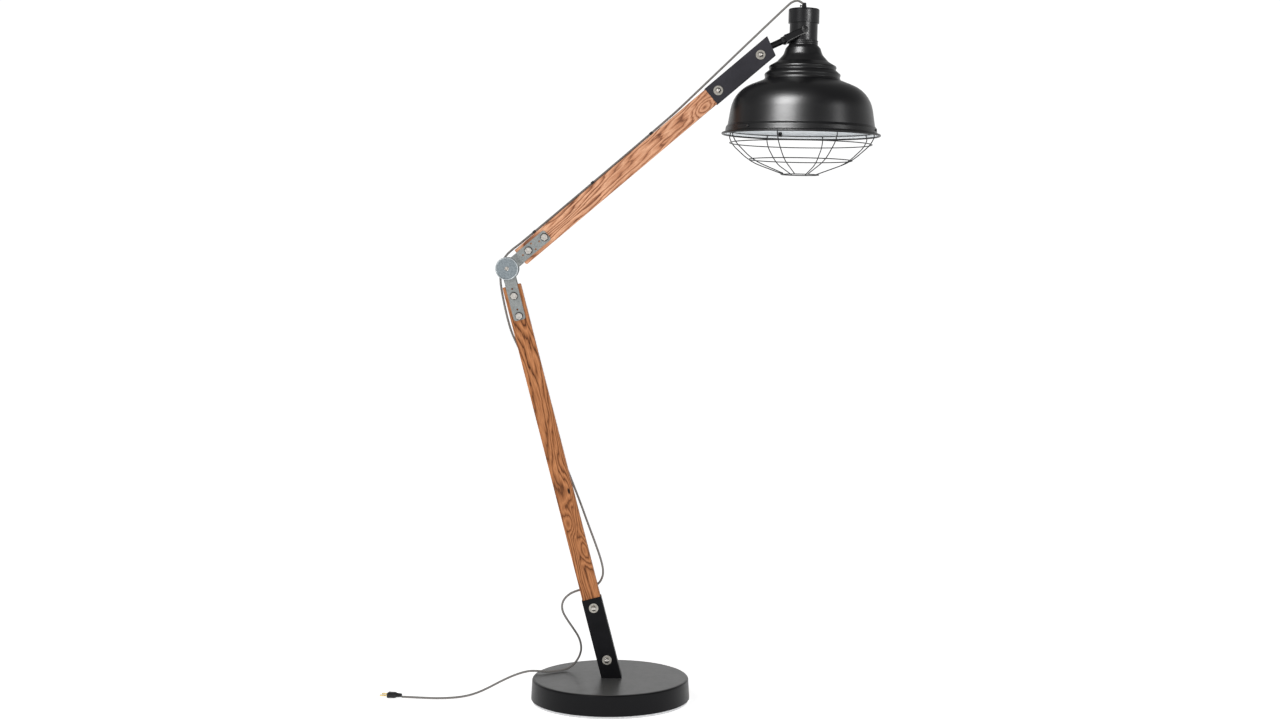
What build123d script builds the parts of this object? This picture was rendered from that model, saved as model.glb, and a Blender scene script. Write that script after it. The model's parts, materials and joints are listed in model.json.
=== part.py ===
"""Adjustable arm floor lamp: weighted round base, leaning timber post, elbow hinge, timber arm and a
spun steel shade with a wire guard.

Frame: millimetres, +Z up, origin at the centre of the base's underside, on the floor. The lamp leans and
reaches in the XZ plane: the post leans toward -X, the arm reaches toward +X, and the front faces -Y.
"""
import os
from math import cos, radians, sin, tan

from build123d import *

# ---------------------------------------------------------------- driving dimensions
# base
BASE_RADIUS = 200.0
BASE_TOP_RADIUS = 197.0
BASE_HEIGHT = 59.0
BASE_EDGE_RADIUS = 6.0
BASE_WALL = 2.0
PAD_THICKNESS = 7.0
PAD_RADIUS = 196.5
PLATE_THICKNESS = 2.0
BALLAST_RADIUS = 188.0
BASE_SCREW_CIRCLE = 150.0
BASE_SCREW_RADIUS = 3.0
BASE_SCREW_COUNT = 4
FOOT_PLATE = (110.0, 80.0, 6.0)
FOOT_SCREW_RADIUS = 4.0
FOOT_SCREW_INSET = 12.0

# post, arm and their timber
POST_FOOT_X = 3.5
POST_LEAN = 14.1
POST_LENGTH = 1063.0
ARM_RISE = 40.0
ARM_LENGTH = 855.0
BEAM_WIDTH = 46.0
BEAM_DEPTH = 30.0
BEAM_START = 43.5
BEAM_EDGE = 1.2

# steel sleeves
SLEEVE_WALL = 2.0
SLEEVE_CORNER = 2.5
POST_SLEEVE_LENGTH = 208.0
ARM_SLEEVE_START = 661.0
POST_SLEEVE_BOLTS = (48.0, 184.0)
ARM_SLEEVE_BOLTS = (684.0, 820.0)
END_PLATE = 3.0

# hinge
HINGE_WIDTH = 30.0
HINGE_THICKNESS = 3.0
HINGE_END = 132.0
HINGE_BOLTS = (70.0, 121.6)
HINGE_HOLES = (52.0, 105.0)
HINGE_PAIR = (86.0, 9.0)
HINGE_HOLE_RADIUS = 2.5
HEX_TURN = 20.0
JOGGLE = (31.0, 41.0)
AXLE_RADIUS = 4.0
AXLE_HEAD = 2.2
SPACER_RADIUS = 6.0
DISC_RADIUS = 28.5
DISC_DEPTH = 5.0
DISC_SKIN = 1.6
FRICTION_WASHER = 0.5
AXIAL_PLAY = 0.1
RUNNING_CLEARANCE = 0.05
BOLT_CLEARANCE = 0.25

# stem, yoke and head
STEM_RISE = 24.5
STEM_RADIUS = 8.0
PIVOT_REACH = 88.5
YOKE_REACH = 52.0
YOKE_THICKNESS = 3.5
YOKE_BRIDGE_WIDTH = 19.0
YOKE_EYE_RADIUS = 7.5
YOKE_CHAMFER = 2.0
PIVOT_RADIUS = 4.0
PIVOT_WASHER = 1.5
PIVOT_WASHER_RADIUS = 9.0
PIVOT_HEAD_RADIUS = 8.2
PIVOT_HEAD = 5.0
PIVOT_DOME = 2.0
PIVOT_SOCKET = 6.0
YOKE_BOLT_HEAD = 1.9
YOKE_NUT = 7.0
YOKE_NUT_FLATS = 17.0
HEAD_TILT = 1.2
PIVOT_ABOVE_RIM = 256.5
NECK_RADIUS = 34.6
NECK_WALL = 1.6
NECK_BOTTOM = 218.5
PARTITION = 234.5
WIRE_HOLE = 5.0
CAP_RADIUS = 38.2
CAP_BOTTOM = 276.0
CAP_TOP = 311.5
CAP_EDGE = 4.0
CAP_SKIN = 2.4
GRIP_HEIGHT = 15.0
GRIP_RADII = (7.0, 5.0)
GRIP_FLANGE = 8.0
GRIP_SCREW_RADIUS = 1.5
SHADE_WALL = 1.2
RIM_RADIUS = 194.5
RIM_ROLL = 3.0
COLLAR_BEADS = (226.0, 231.5)
BEAD_RADIUS = 1.1

# lampholder and lamp
HOLDER_RADIUS = 20.0
HOLDER_LENGTH = 58.0
HOLDER_DROP = 4.0
NIPPLE_RADIUS = 4.8
BULB_CAP_RADIUS = 13.3
BULB_CAP_LENGTH = 26.0
BULB_CAP_SHOWS = 2.0
BULB_RADIUS = 30.0
BULB_LENGTH = 78.0

# guard
WIRE_RADIUS = 1.3
RIB_COUNT = 8
RIB_ANGLE = 22.7
RIM_RING = (182.0, 8.5)
CLIP_ANGLES = (-48.0, 72.0, 192.0)
CLIP_WIDTH = 9.0
CLIP_WALL = 1.1
CLIP_SCREW_HEIGHT = 14.0
CLIP_SCREW_RADIUS = 2.0
CLIP_SCREW_HEAD = (3.6, 2.4)
CLIP_SCREW_SEAT = 188.4
CLIP_STEP = 2.9
CLIP_TOP = 18.0

# lead, its saddles and its plug
CORD_DIAMETER = 5.5
LEAD_HEIGHT = 26.2
ARM_SADDLES = (110.0, 300.0, 490.0)
SADDLE_WIDTH = 14.0
SADDLE_LENGTH = 8.0
SADDLE_WALL = 1.2
PLUG_LENGTH = 36.0
PLUG_WIDTH = 26.0
PLUG_HEIGHT = 14.0
PIN_RADIUS = 2.0
PIN_LENGTH = 19.0
PIN_SPACING = 18.6

# metric fasteners
M10_RADIUS = 5.0
M10_FLATS = 16.0
M10_HEAD = 6.4
M10_NUT = 8.0
M10_WASHER = 2.0
M10_WASHER_RADIUS = 10.0
M8_RADIUS = 4.0
M8_FLATS = 13.0
M8_NUT = 6.5
M8_WASHER = 1.6
M8_WASHER_RADIUS = 11.8
ACORN_DOME = 5.0

# ---------------------------------------------------------------- frames and small helpers


def along(origin, angle):
    """A frame in the XZ plane whose local Z points at the angle above +X, and whose local Y is global Y."""
    dx = cos(radians(angle))
    dz = sin(radians(angle))
    return Plane(origin=origin, x_dir=(dz, 0, -dx), z_dir=(dx, 0, dz))


POST_ANGLE = 90.0 + POST_LEAN
FOOT = Vector(POST_FOOT_X, 0, BASE_HEIGHT)
POST = along(FOOT, POST_ANGLE)
ELBOW = POST.from_local_coords(Vector(0, 0, POST_LENGTH))
POST_DOWN = along(ELBOW, POST_ANGLE + 180.0)
ARM = along(ELBOW, ARM_RISE)
ARM_END = ARM.from_local_coords(Vector(0, 0, ARM_LENGTH))
STEM = along(ARM_END, STEM_RISE)
PIVOT = STEM.from_local_coords(Vector(0, 0, PIVOT_REACH))
STEM_BACK = along(PIVOT, STEM_RISE + 180.0)
HEAD = along(PIVOT, 90.0 - HEAD_TILT)
RIM = Plane(
    origin=HEAD.from_local_coords(Vector(0, 0, -PIVOT_ABOVE_RIM)),
    x_dir=HEAD.x_dir,
    z_dir=HEAD.z_dir,
)

SLEEVE_WIDTH = BEAM_WIDTH + 2 * SLEEVE_WALL
SLEEVE_DEPTH = BEAM_DEPTH + 2 * SLEEVE_WALL
BEAM_FACE = BEAM_DEPTH / 2
SLEEVE_FACE = SLEEVE_DEPTH / 2
SIDES = (-1, 1)

parts = {}


def place(name, frame, shape):
    """Keep a shape, modelled in a frame's own coordinates, as the node of that name."""
    parts[name] = frame.location * shape


def group(shapes):
    """Several separate solids as one node."""
    solids = [solid for shape in shapes for solid in shape.solids()]
    return Compound(children=solids)


def box_between(low, high):
    """A block from its lowest to its highest corner."""
    size = [b - a for a, b in zip(low, high)]
    centre = [(a + b) / 2 for a, b in zip(low, high)]
    return Pos(*centre) * Box(*size)


def rod_y(radius, start, end, x=0.0, z=0.0):
    """A round bar along Y between two distances."""
    return Pos(x, (start + end) / 2, z) * Rot(90, 0, 0) * Cylinder(radius, abs(end - start))


def ring_y(outer, inner, start, end, x=0.0, z=0.0):
    """A washer or tube along Y."""
    return rod_y(outer, start, end, x, z) - rod_y(inner, start, end, x, z)


def hex_y(across_flats, start, end, z=0.0, turn=0.0):
    """A hexagonal bar along Y."""
    outline = RegularPolygon(across_flats / 2, 6, major_radius=False, rotation=turn)
    prism = extrude(Plane.XZ * outline, amount=abs(end - start))
    return Pos(0, max(start, end), z) * prism


def dome_y(radius, height, face, side, z=0.0):
    """A shallow domed head on a face, bulging toward the side."""
    sphere_radius = (radius**2 + height**2) / (2 * height)
    ball = Pos(0, face + side * (height - sphere_radius), z) * Sphere(sphere_radius)
    reach = side * (height + 1)
    keep = rod_y(radius, face, face + reach, 0, z)
    return ball & keep


def revolve_outline(points, radii, wall):
    """A spun sheet: the outer outline of (radius, height) points from the mouth to the top, each inner
    corner rounded by its radius, thickened inward by the wall and turned about Z."""
    outer = FilletPolyline(*points, radius=radii)
    inner = FilletPolyline(*inset(points, wall), radius=inset_radii(points, radii, wall))
    mouth = Line(outer @ 0, inner @ 0)
    top = Line(outer @ 1, inner @ 1)
    section = make_face([outer, top, inner, mouth])
    return revolve(Plane.XZ * section, axis=Axis.Z)


def inset(points, wall):
    """The points of an outline moved to its inner side by the wall."""
    runs = [Vector(*b) - Vector(*a) for a, b in zip(points, points[1:])]
    normals = [Vector(-run.Y, run.X).normalized() for run in runs]
    moved = []
    for index, point in enumerate(points):
        before = normals[max(index - 1, 0)]
        after = normals[min(index, len(normals) - 1)]
        step = (before + after) * (wall / (1 + before.dot(after)))
        moved.append((point[0] + step.X, point[1] + step.Y))
    return moved


def inset_radii(points, radii, wall):
    """The corner radii of the inner side: smaller at a corner that turns inward, larger at the others."""
    changed = []
    for before, corner, after, radius in zip(points, points[1:], points[2:], radii):
        first = Vector(*corner) - Vector(*before)
        second = Vector(*after) - Vector(*corner)
        turns_inward = first.X * second.Y - first.Y * second.X > 0
        changed.append(radius - wall if turns_inward else radius + wall)
    return changed


# ---------------------------------------------------------------- weighted base
FLOOR = Plane.XY


def screw_ring(piece):
    """The same piece at each of the closing plate's screws."""
    ring = []
    for index in range(BASE_SCREW_COUNT):
        angle = radians((index + 0.5) * 360.0 / BASE_SCREW_COUNT)
        x = BASE_SCREW_CIRCLE * cos(angle)
        y = BASE_SCREW_CIRCLE * sin(angle)
        ring.append(Pos(x, y, 0) * piece)
    return ring


def rod_z(radius, bottom, top):
    """A round bar along Z between two heights."""
    return Pos(0, 0, (bottom + top) / 2) * Cylinder(radius, top - bottom)


def make_base():
    """Steel cover, cast ballast, closing plate, floor pad and the plates and screws that join them."""
    cover_outline = [(BASE_RADIUS, PAD_THICKNESS), (BASE_TOP_RADIUS, BASE_HEIGHT), (0, BASE_HEIGHT)]
    place("base_cover", FLOOR, revolve_outline(cover_outline, [BASE_EDGE_RADIUS], BASE_WALL))

    place("base_floor_pad", FLOOR, rod_z(PAD_RADIUS, 0, PAD_THICKNESS))

    plate_top = PAD_THICKNESS + PLATE_THICKNESS
    plate_radius = BASE_RADIUS - 2 * BASE_WALL
    screw_top = plate_top + 3 * PAD_THICKNESS
    plate_screws = screw_ring(rod_z(BASE_SCREW_RADIUS, PAD_THICKNESS, screw_top))
    plate = rod_z(plate_radius, PAD_THICKNESS, plate_top)

    length, depth, thickness = FOOT_PLATE
    under_cover = BASE_HEIGHT - BASE_WALL
    foot_bottom = under_cover - thickness
    foot = Pos(POST_FOOT_X, 0, 0) * box_between(
        (-length / 2, -depth / 2, foot_bottom),
        (length / 2, depth / 2, under_cover),
    )
    ballast = rod_z(BALLAST_RADIUS, plate_top, under_cover) - foot
    for screw in plate_screws:
        plate -= screw
        ballast -= screw
    screw_depth = foot_bottom - 2 * thickness
    foot_screws = []
    for across in SIDES:
        for deep in SIDES:
            x = POST_FOOT_X + across * (length / 2 - FOOT_SCREW_INSET)
            y = deep * (depth / 2 - FOOT_SCREW_INSET)
            at = Pos(x, y, 0)
            foot -= at * rod_z(FOOT_SCREW_RADIUS, foot_bottom, under_cover)
            ballast -= at * rod_z(FOOT_SCREW_RADIUS, screw_depth, foot_bottom)
            foot_screws.append(at * rod_z(FOOT_SCREW_RADIUS, screw_depth, under_cover))
    place("base_bottom_plate", FLOOR, plate)
    place("base_plate_screws", FLOOR, group(plate_screws))
    place("base_ballast", FLOOR, ballast)
    place("post_foot_plate", FLOOR, foot)
    place("post_foot_screws", FLOOR, group(foot_screws))


# ---------------------------------------------------------------- timber and sleeves


def beam(start, end, sleeve_bolts):
    """A planed timber between two distances from the elbow, bored for its sleeve and hinge bolts."""
    timber = box_between((-BEAM_WIDTH / 2, -BEAM_FACE, start), (BEAM_WIDTH / 2, BEAM_FACE, end))
    timber = chamfer(timber.edges(), BEAM_EDGE)
    for distance in sleeve_bolts:
        timber -= rod_y(M8_RADIUS + BOLT_CLEARANCE, -BEAM_DEPTH, BEAM_DEPTH, 0, distance)
    for distance in HINGE_BOLTS:
        timber -= rod_y(M10_RADIUS + BOLT_CLEARANCE, -BEAM_DEPTH, BEAM_DEPTH, 0, distance)
    return timber


def sleeve(start, end, bolts):
    """A rectangular steel tube that the timber end slides into, with outer corners rounded."""
    outer = box_between(
        (-SLEEVE_WIDTH / 2, -SLEEVE_FACE, start), (SLEEVE_WIDTH / 2, SLEEVE_FACE, end)
    )
    outer = fillet(outer.edges().filter_by(Axis.Z), SLEEVE_CORNER)
    tube = outer - box_between(
        (-BEAM_WIDTH / 2, -BEAM_FACE, start), (BEAM_WIDTH / 2, BEAM_FACE, end)
    )
    for distance in bolts:
        tube -= rod_y(M8_RADIUS + BOLT_CLEARANCE, -SLEEVE_DEPTH, SLEEVE_DEPTH, 0, distance)
    return outer, tube


def sleeve_fasteners(prefix, frame, bolts):
    """Domed carriage bolts from the back, with a bright washer and an acorn nut on the front."""
    radius = M8_RADIUS
    washer_face = -SLEEVE_FACE - M8_WASHER
    nut_face = washer_face - M8_NUT
    carriage = []
    washers = []
    nuts = []
    for at in bolts:
        shank = rod_y(radius, nut_face + 1, SLEEVE_FACE, 0, at)
        head = dome_y(M8_WASHER_RADIUS - 2, radius, SLEEVE_FACE, 1, at)
        carriage.append(shank + head)
        washers.append(ring_y(M8_WASHER_RADIUS, radius, washer_face, -SLEEVE_FACE, 0, at))
        acorn = hex_y(M8_FLATS, nut_face, washer_face, at)
        acorn += dome_y(M8_FLATS / 2 - 0.4, ACORN_DOME, nut_face, -1, at)
        nuts.append(acorn - rod_y(radius, nut_face + 1, washer_face, 0, at))
    place(prefix + "_bolts", frame, group(carriage))
    place(prefix + "_washers", frame, group(washers))
    place(prefix + "_cap_nuts", frame, group(nuts))


def make_post():
    """The lower timber in its leaning sleeve, welded at the foot to stand on the base."""
    from_elbow = [POST_LENGTH - at for at in POST_SLEEVE_BOLTS]
    beam_end = POST_LENGTH - POST_SLEEVE_BOLTS[0] / 2
    place("lower_beam", POST_DOWN, beam(BEAM_START, beam_end, from_elbow))

    over_foot = POST_LENGTH + SLEEVE_WIDTH
    _, tube = sleeve(POST_LENGTH - POST_SLEEVE_LENGTH, over_foot, from_elbow)
    reach = SLEEVE_WIDTH * 3
    below = box_between((-reach, -reach, -reach), (reach, reach, BASE_HEIGHT))
    parts["lower_sleeve"] = POST_DOWN.location * tube - below
    sleeve_fasteners("lower_sleeve", POST_DOWN, from_elbow)


def make_arm():
    """The upper timber in the sleeve that carries the shade's stem."""
    beam_end = (ARM_SLEEVE_BOLTS[1] + ARM_LENGTH) / 2 - END_PLATE
    place("upper_beam", ARM, beam(BEAM_START, beam_end, ARM_SLEEVE_BOLTS))

    past_end = ARM_LENGTH + SLEEVE_WIDTH
    outer, tube = sleeve(ARM_SLEEVE_START, past_end, ARM_SLEEVE_BOLTS)
    reach = SLEEVE_WIDTH * 2
    beyond = STEM.location * box_between((-reach, -reach, 0), (reach, reach, reach))
    slab = STEM.location * box_between((-reach, -reach, -END_PLATE), (reach, reach, 0))
    closed = ARM.location * tube - beyond + (ARM.location * outer & slab)
    parts["upper_sleeve"] = closed
    sleeve_fasteners("upper_sleeve", ARM, ARM_SLEEVE_BOLTS)


# ---------------------------------------------------------------- elbow hinge
LEAF_INNER = BEAM_FACE
LEAF_OUTER = BEAM_FACE + HINGE_THICKNESS
EYE_INNER = LEAF_OUTER + FRICTION_WASHER + AXIAL_PLAY
EYE_OUTER = EYE_INNER + HINGE_THICKNESS
DISC_INNER = EYE_OUTER + AXIAL_PLAY
AXLE_HOLE = AXLE_RADIUS + RUNNING_CLEARANCE


def drill_leaf(leaf):
    """The bolt holes and the small screw holes of a hinge leaf."""
    for at in HINGE_BOLTS:
        leaf -= rod_y(M10_RADIUS + BOLT_CLEARANCE, -SLEEVE_WIDTH, SLEEVE_WIDTH, 0, at)
    for at in HINGE_HOLES:
        leaf -= rod_y(HINGE_HOLE_RADIUS, -SLEEVE_WIDTH, SLEEVE_WIDTH, 0, at)
    return leaf


def leaf_outline(start, end):
    """A strip seen from the front, its far corners rounded."""
    strip = Pos(0, (start + end) / 2) * Rectangle(HINGE_WIDTH, end - start)
    far = strip.vertices().sort_by(Axis.Y)[-2:]
    return fillet(far, HINGE_THICKNESS * 2)


def flat_leaf(outline, inner, outer):
    """A strip of hinge plate on the front, between two distances from the middle plane."""
    upright = Plane(origin=(0, -inner, 0), x_dir=(1, 0, 0), z_dir=(0, -1, 0))
    return extrude(upright * outline, amount=outer - inner)


def lower_leaf(side):
    """The post's hinge leaf: flat, with a round eye, on the timber's face."""
    outline = leaf_outline(0, HINGE_END) + Circle(HINGE_WIDTH / 2)
    leaf = flat_leaf(outline, LEAF_INNER, LEAF_OUTER)
    leaf = drill_leaf(leaf - rod_y(AXLE_HOLE, -SLEEVE_WIDTH, 0))
    return leaf if side < 0 else mirror(leaf, Plane.XZ)


def upper_leaf(side):
    """The arm's hinge leaf: it lies on the timber and steps out to pass over the post's eye."""
    near, far = JOGGLE
    round_end = Pos(0, near / 2) * Rectangle(HINGE_WIDTH, near) + Circle(HINGE_WIDTH / 2)
    eye = flat_leaf(round_end, EYE_INNER, EYE_OUTER)
    flat = flat_leaf(leaf_outline(far, HINGE_END), LEAF_INNER, LEAF_OUTER)
    step = Polyline(
        (-EYE_OUTER, near), (-EYE_INNER, near), (-LEAF_INNER, far), (-LEAF_OUTER, far), close=True
    )
    across = Plane(origin=(-HINGE_WIDTH / 2, 0, 0), x_dir=(0, 1, 0), z_dir=(1, 0, 0))
    ramp = extrude(across * make_face(step), amount=HINGE_WIDTH)
    leaf = eye + ramp + flat
    leaf -= rod_y(AXLE_HOLE, -SLEEVE_WIDTH, 0)
    leaf = drill_leaf(leaf)
    distance, off_axis = HINGE_PAIR
    for x in (-off_axis, off_axis):
        leaf -= rod_y(HINGE_HOLE_RADIUS, -SLEEVE_WIDTH, 0, x, distance)
    return leaf if side < 0 else mirror(leaf, Plane.XZ)


def hinge_fasteners(prefix, frame):
    """Hexagon bolts through both leaves and the timber, with washers and nuts."""
    radius = M10_RADIUS
    seat = LEAF_OUTER + M10_WASHER
    nut_face = seat + M10_NUT
    bolts = []
    washers = []
    nuts = []
    for at in HINGE_BOLTS:
        head = hex_y(M10_FLATS, -seat - M10_HEAD, -seat, at, HEX_TURN)
        bolts.append(head + rod_y(radius, -seat, nut_face + radius / 2, 0, at))
        for side in SIDES:
            washers.append(ring_y(M10_WASHER_RADIUS, radius, side * LEAF_OUTER, side * seat, 0, at))
        nut = hex_y(M10_FLATS, seat, nut_face, at, HEX_TURN)
        nuts.append(nut - rod_y(radius, seat, nut_face, 0, at))
    place(prefix + "_bolts", frame, group(bolts))
    place(prefix + "_washers", frame, group(washers))
    place(prefix + "_nuts", frame, group(nuts))


def cover_disc(side):
    """A pressed cup over the hinge eye: a raised rolled rim round a shallow face."""
    face = DISC_INNER + DISC_DEPTH
    disc = ring_y(DISC_RADIUS, DISC_RADIUS - DISC_SKIN, DISC_INNER, face)
    disc += rod_y(DISC_RADIUS, face - DISC_SKIN, face)
    rim = Rot(90, 0, 0) * Torus(DISC_RADIUS - DISC_SKIN, DISC_SKIN)
    disc += Pos(0, face - DISC_SKIN / 4, 0) * rim
    disc -= rod_y(AXLE_HOLE, DISC_INNER, face)
    return disc if side > 0 else mirror(disc, Plane.XZ)


def make_elbow():
    """Two leaves a side, the axle through them, its spacer, washers and cover discs."""
    place("hinge_lower_leaves", POST_DOWN, group([lower_leaf(side) for side in SIDES]))
    place("hinge_upper_leaves", ARM, group([upper_leaf(side) for side in SIDES]))
    hinge_fasteners("hinge_lower", POST_DOWN)
    hinge_fasteners("hinge_upper", ARM)
    face = DISC_INNER + DISC_DEPTH
    axle = rod_y(AXLE_RADIUS, -face, face)
    for side in SIDES:
        axle += dome_y(AXLE_RADIUS + 1.2, AXLE_HEAD, side * face, side)
    place("elbow_axle", ARM, axle)
    place("elbow_spacer", ARM, ring_y(SPACER_RADIUS, AXLE_HOLE, -LEAF_INNER, LEAF_INNER))
    washer_top = LEAF_OUTER + FRICTION_WASHER
    washers = [
        ring_y(HINGE_WIDTH / 2 - 1, AXLE_HOLE, side * LEAF_OUTER, side * washer_top) for side in SIDES
    ]
    place("elbow_friction_washers", ARM, group(washers))
    place("elbow_cover_discs", ARM, group([cover_disc(side) for side in SIDES]))


# ---------------------------------------------------------------- stem and yoke
YOKE_INNER = NECK_RADIUS + PIVOT_WASHER + 2 * AXIAL_PLAY
YOKE_OUTER = YOKE_INNER + YOKE_THICKNESS


def make_stem():
    """The stem on the arm's end plate, and the bolt and flange nut that hold the yoke on it."""
    bridge_outer = PIVOT_REACH - YOKE_REACH
    bridge_inner = bridge_outer + YOKE_THICKNESS
    nut_base = bridge_outer - YOKE_NUT
    stem = rod_z(STEM_RADIUS, 0, nut_base) - rod_z(M8_RADIUS, YOKE_NUT, bridge_outer)
    place("stem", STEM, stem)
    bolt = rod_z(M8_RADIUS, YOKE_NUT, bridge_inner + AXIAL_PLAY)
    head = rod_z(M8_RADIUS + 2.5, bridge_inner + AXIAL_PLAY, bridge_inner + YOKE_BOLT_HEAD)
    place("yoke_bolt", STEM, bolt + head)
    outline = RegularPolygon(YOKE_NUT_FLATS / 2, 6, major_radius=False)
    hexagon = extrude(outline, amount=YOKE_NUT - AXIAL_PLAY)
    lock_nut = Pos(0, 0, nut_base) * hexagon - rod_z(M8_RADIUS, 0, bridge_outer)
    place("yoke_lock_nut", STEM, lock_nut)


def yoke_arm(side):
    """A strip that narrows from the bridge to a round eye on the tilt axis."""
    half = YOKE_BRIDGE_WIDTH / 2
    tip = YOKE_EYE_RADIUS
    taper = Polyline((-half, YOKE_REACH), (-tip, 0), (tip, 0), (half, YOKE_REACH), close=True)
    outline = make_face(taper) + Circle(tip)
    arm = flat_leaf(outline, YOKE_INNER, YOKE_OUTER)
    lower = arm.faces().sort_by(Axis.X)[0]
    outer_edge = lower.edges().sort_by(Axis.Y)[0]
    arm = chamfer(outer_edge, YOKE_CHAMFER)
    arm -= rod_y(PIVOT_RADIUS + RUNNING_CLEARANCE, -YOKE_OUTER, 0)
    return arm if side < 0 else mirror(arm, Plane.XZ)


def make_yoke():
    """The U-shaped yoke, bent from strip, that the shade tilts in."""
    half = YOKE_BRIDGE_WIDTH / 2
    bridge = box_between(
        (-half, -YOKE_OUTER, YOKE_REACH - YOKE_THICKNESS), (half, YOKE_OUTER, YOKE_REACH)
    )
    yoke = bridge + yoke_arm(-1) + yoke_arm(1)
    yoke -= rod_z(M8_RADIUS + RUNNING_CLEARANCE, YOKE_REACH - 2 * YOKE_THICKNESS, YOKE_REACH)
    place("yoke", STEM_BACK, yoke)


# ---------------------------------------------------------------- shade, neck and their fittings
SHADE_OUTLINE = [
    (195.5, 1.5),
    (188.5, 7.0),
    (186.8, 18.5),
    (182.4, 24.0),
    (169.0, 107.0),
    (95.0, 136.5),
    (92.6, 141.5),
    (94.6, 150.5),
    (82.0, 161.0),
    (84.6, 169.5),
    (64.0, 181.5),
    (48.5, 198.5),
    (43.0, 214.5),
    (NECK_RADIUS + SHADE_WALL, 222.5),
    (NECK_RADIUS + SHADE_WALL, 233.5),
]
SHADE_RADII = [5.0, 5.0, 2.5, 79.0, 2.5, 2.2, 5.0, 3.0, 5.0, 8.0, 20.0, 4.0, 2.5]


def clip_turns():
    """The turn about the shade's axis that takes a clip from the front to each of its places."""
    return [Rot(0, 0, angle) for angle in CLIP_ANGLES]


def make_shade():
    """The spun steel shade with its rolled rim, collar beads and three screw holes."""
    shade = revolve_outline(SHADE_OUTLINE, SHADE_RADII, SHADE_WALL)
    shade += Pos(0, 0, RIM_ROLL - 0.8) * Torus(RIM_RADIUS, RIM_ROLL)
    for height in COLLAR_BEADS:
        shade += Pos(0, 0, height) * Torus(NECK_RADIUS + SHADE_WALL, BEAD_RADIUS)
    shade -= rod_z(NECK_RADIUS, NECK_BOTTOM, CAP_BOTTOM)
    hole_radius = CLIP_SCREW_RADIUS + BOLT_CLEARANCE
    hole = rod_y(hole_radius, -RIM_RADIUS, NECK_RADIUS - RIM_RADIUS, 0, CLIP_SCREW_HEIGHT)
    for turn in clip_turns():
        shade -= turn * hole
    place("shade", RIM, shade)


def make_neck():
    """The neck tube with its partition, the cap over it and the cord grip."""
    neck_top = CAP_TOP - CAP_SKIN
    neck = rod_z(NECK_RADIUS, NECK_BOTTOM, neck_top)
    neck -= rod_z(NECK_RADIUS - NECK_WALL, NECK_BOTTOM, neck_top)
    neck += rod_z(NECK_RADIUS - NECK_WALL / 2, PARTITION, PARTITION + NECK_WALL)
    neck -= rod_z(WIRE_HOLE, PARTITION, PARTITION + NECK_WALL)
    neck -= rod_y(PIVOT_RADIUS, -CAP_RADIUS, CAP_RADIUS, 0, PIVOT_ABOVE_RIM)
    place("neck_tube", RIM, neck)

    cap = rod_z(CAP_RADIUS, CAP_BOTTOM, CAP_TOP)
    cap = fillet(cap.edges().sort_by(Axis.Z)[-1], CAP_EDGE)
    cap -= rod_z(NECK_RADIUS, CAP_BOTTOM, neck_top)
    cap -= rod_z(WIRE_HOLE, neck_top, CAP_TOP)
    place("neck_cap", RIM, cap)

    foot_radius, top_radius = GRIP_RADII
    flange_bottom = neck_top - CAP_SKIN
    grip = Pos(0, 0, CAP_TOP + GRIP_HEIGHT / 2) * Cone(foot_radius, top_radius, GRIP_HEIGHT)
    grip = fillet(grip.edges().sort_by(Axis.Z)[-1], top_radius / 2)
    grip += rod_z(WIRE_HOLE, neck_top, CAP_TOP) + rod_z(GRIP_FLANGE, flange_bottom, neck_top)
    grip -= rod_z(CORD_DIAMETER / 2, flange_bottom, CAP_TOP)
    sideways = Pos(-foot_radius, 0, CAP_TOP + GRIP_HEIGHT / 2) * Rot(0, 90, 0)
    screw = rod_z(GRIP_SCREW_RADIUS, -foot_radius / 2, foot_radius / 2)
    screw += rod_z(2 * GRIP_SCREW_RADIUS, -foot_radius / 2, -foot_radius / 4)
    screw = sideways * screw
    place("cord_grip", RIM, grip - screw)
    place("cord_grip_screw", RIM, screw)


def make_pivot():
    """Socket screws from each side of the yoke into nuts inside the neck."""
    screws = []
    nuts = []
    washers = []
    for side in SIDES:
        head_face = YOKE_OUTER + AXIAL_PLAY
        head_top = head_face + PIVOT_HEAD
        nut_face = NECK_RADIUS - NECK_WALL - PIVOT_WASHER
        nut_end = nut_face - M8_NUT
        screw = rod_y(PIVOT_RADIUS, side * (nut_end - PIVOT_WASHER), side * head_face)
        screw += rod_y(PIVOT_HEAD_RADIUS, side * head_face, side * head_top)
        screw += dome_y(PIVOT_HEAD_RADIUS, PIVOT_DOME, side * head_top, side)
        socket = hex_y(PIVOT_SOCKET, side * (head_face + PIVOT_DOME), side * (head_top + PIVOT_HEAD))
        screws.append(screw - socket)
        nut = hex_y(M8_FLATS, side * nut_end, side * nut_face)
        nuts.append(nut - rod_y(PIVOT_RADIUS, side * nut_end, side * nut_face))
        start = side * (NECK_RADIUS + AXIAL_PLAY)
        end = start + side * PIVOT_WASHER
        washers.append(ring_y(PIVOT_WASHER_RADIUS, PIVOT_RADIUS, start, end))
    place("pivot_screws", HEAD, group(screws))
    place("pivot_nuts", HEAD, group(nuts))
    place("pivot_washers", HEAD, group(washers))


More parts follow.
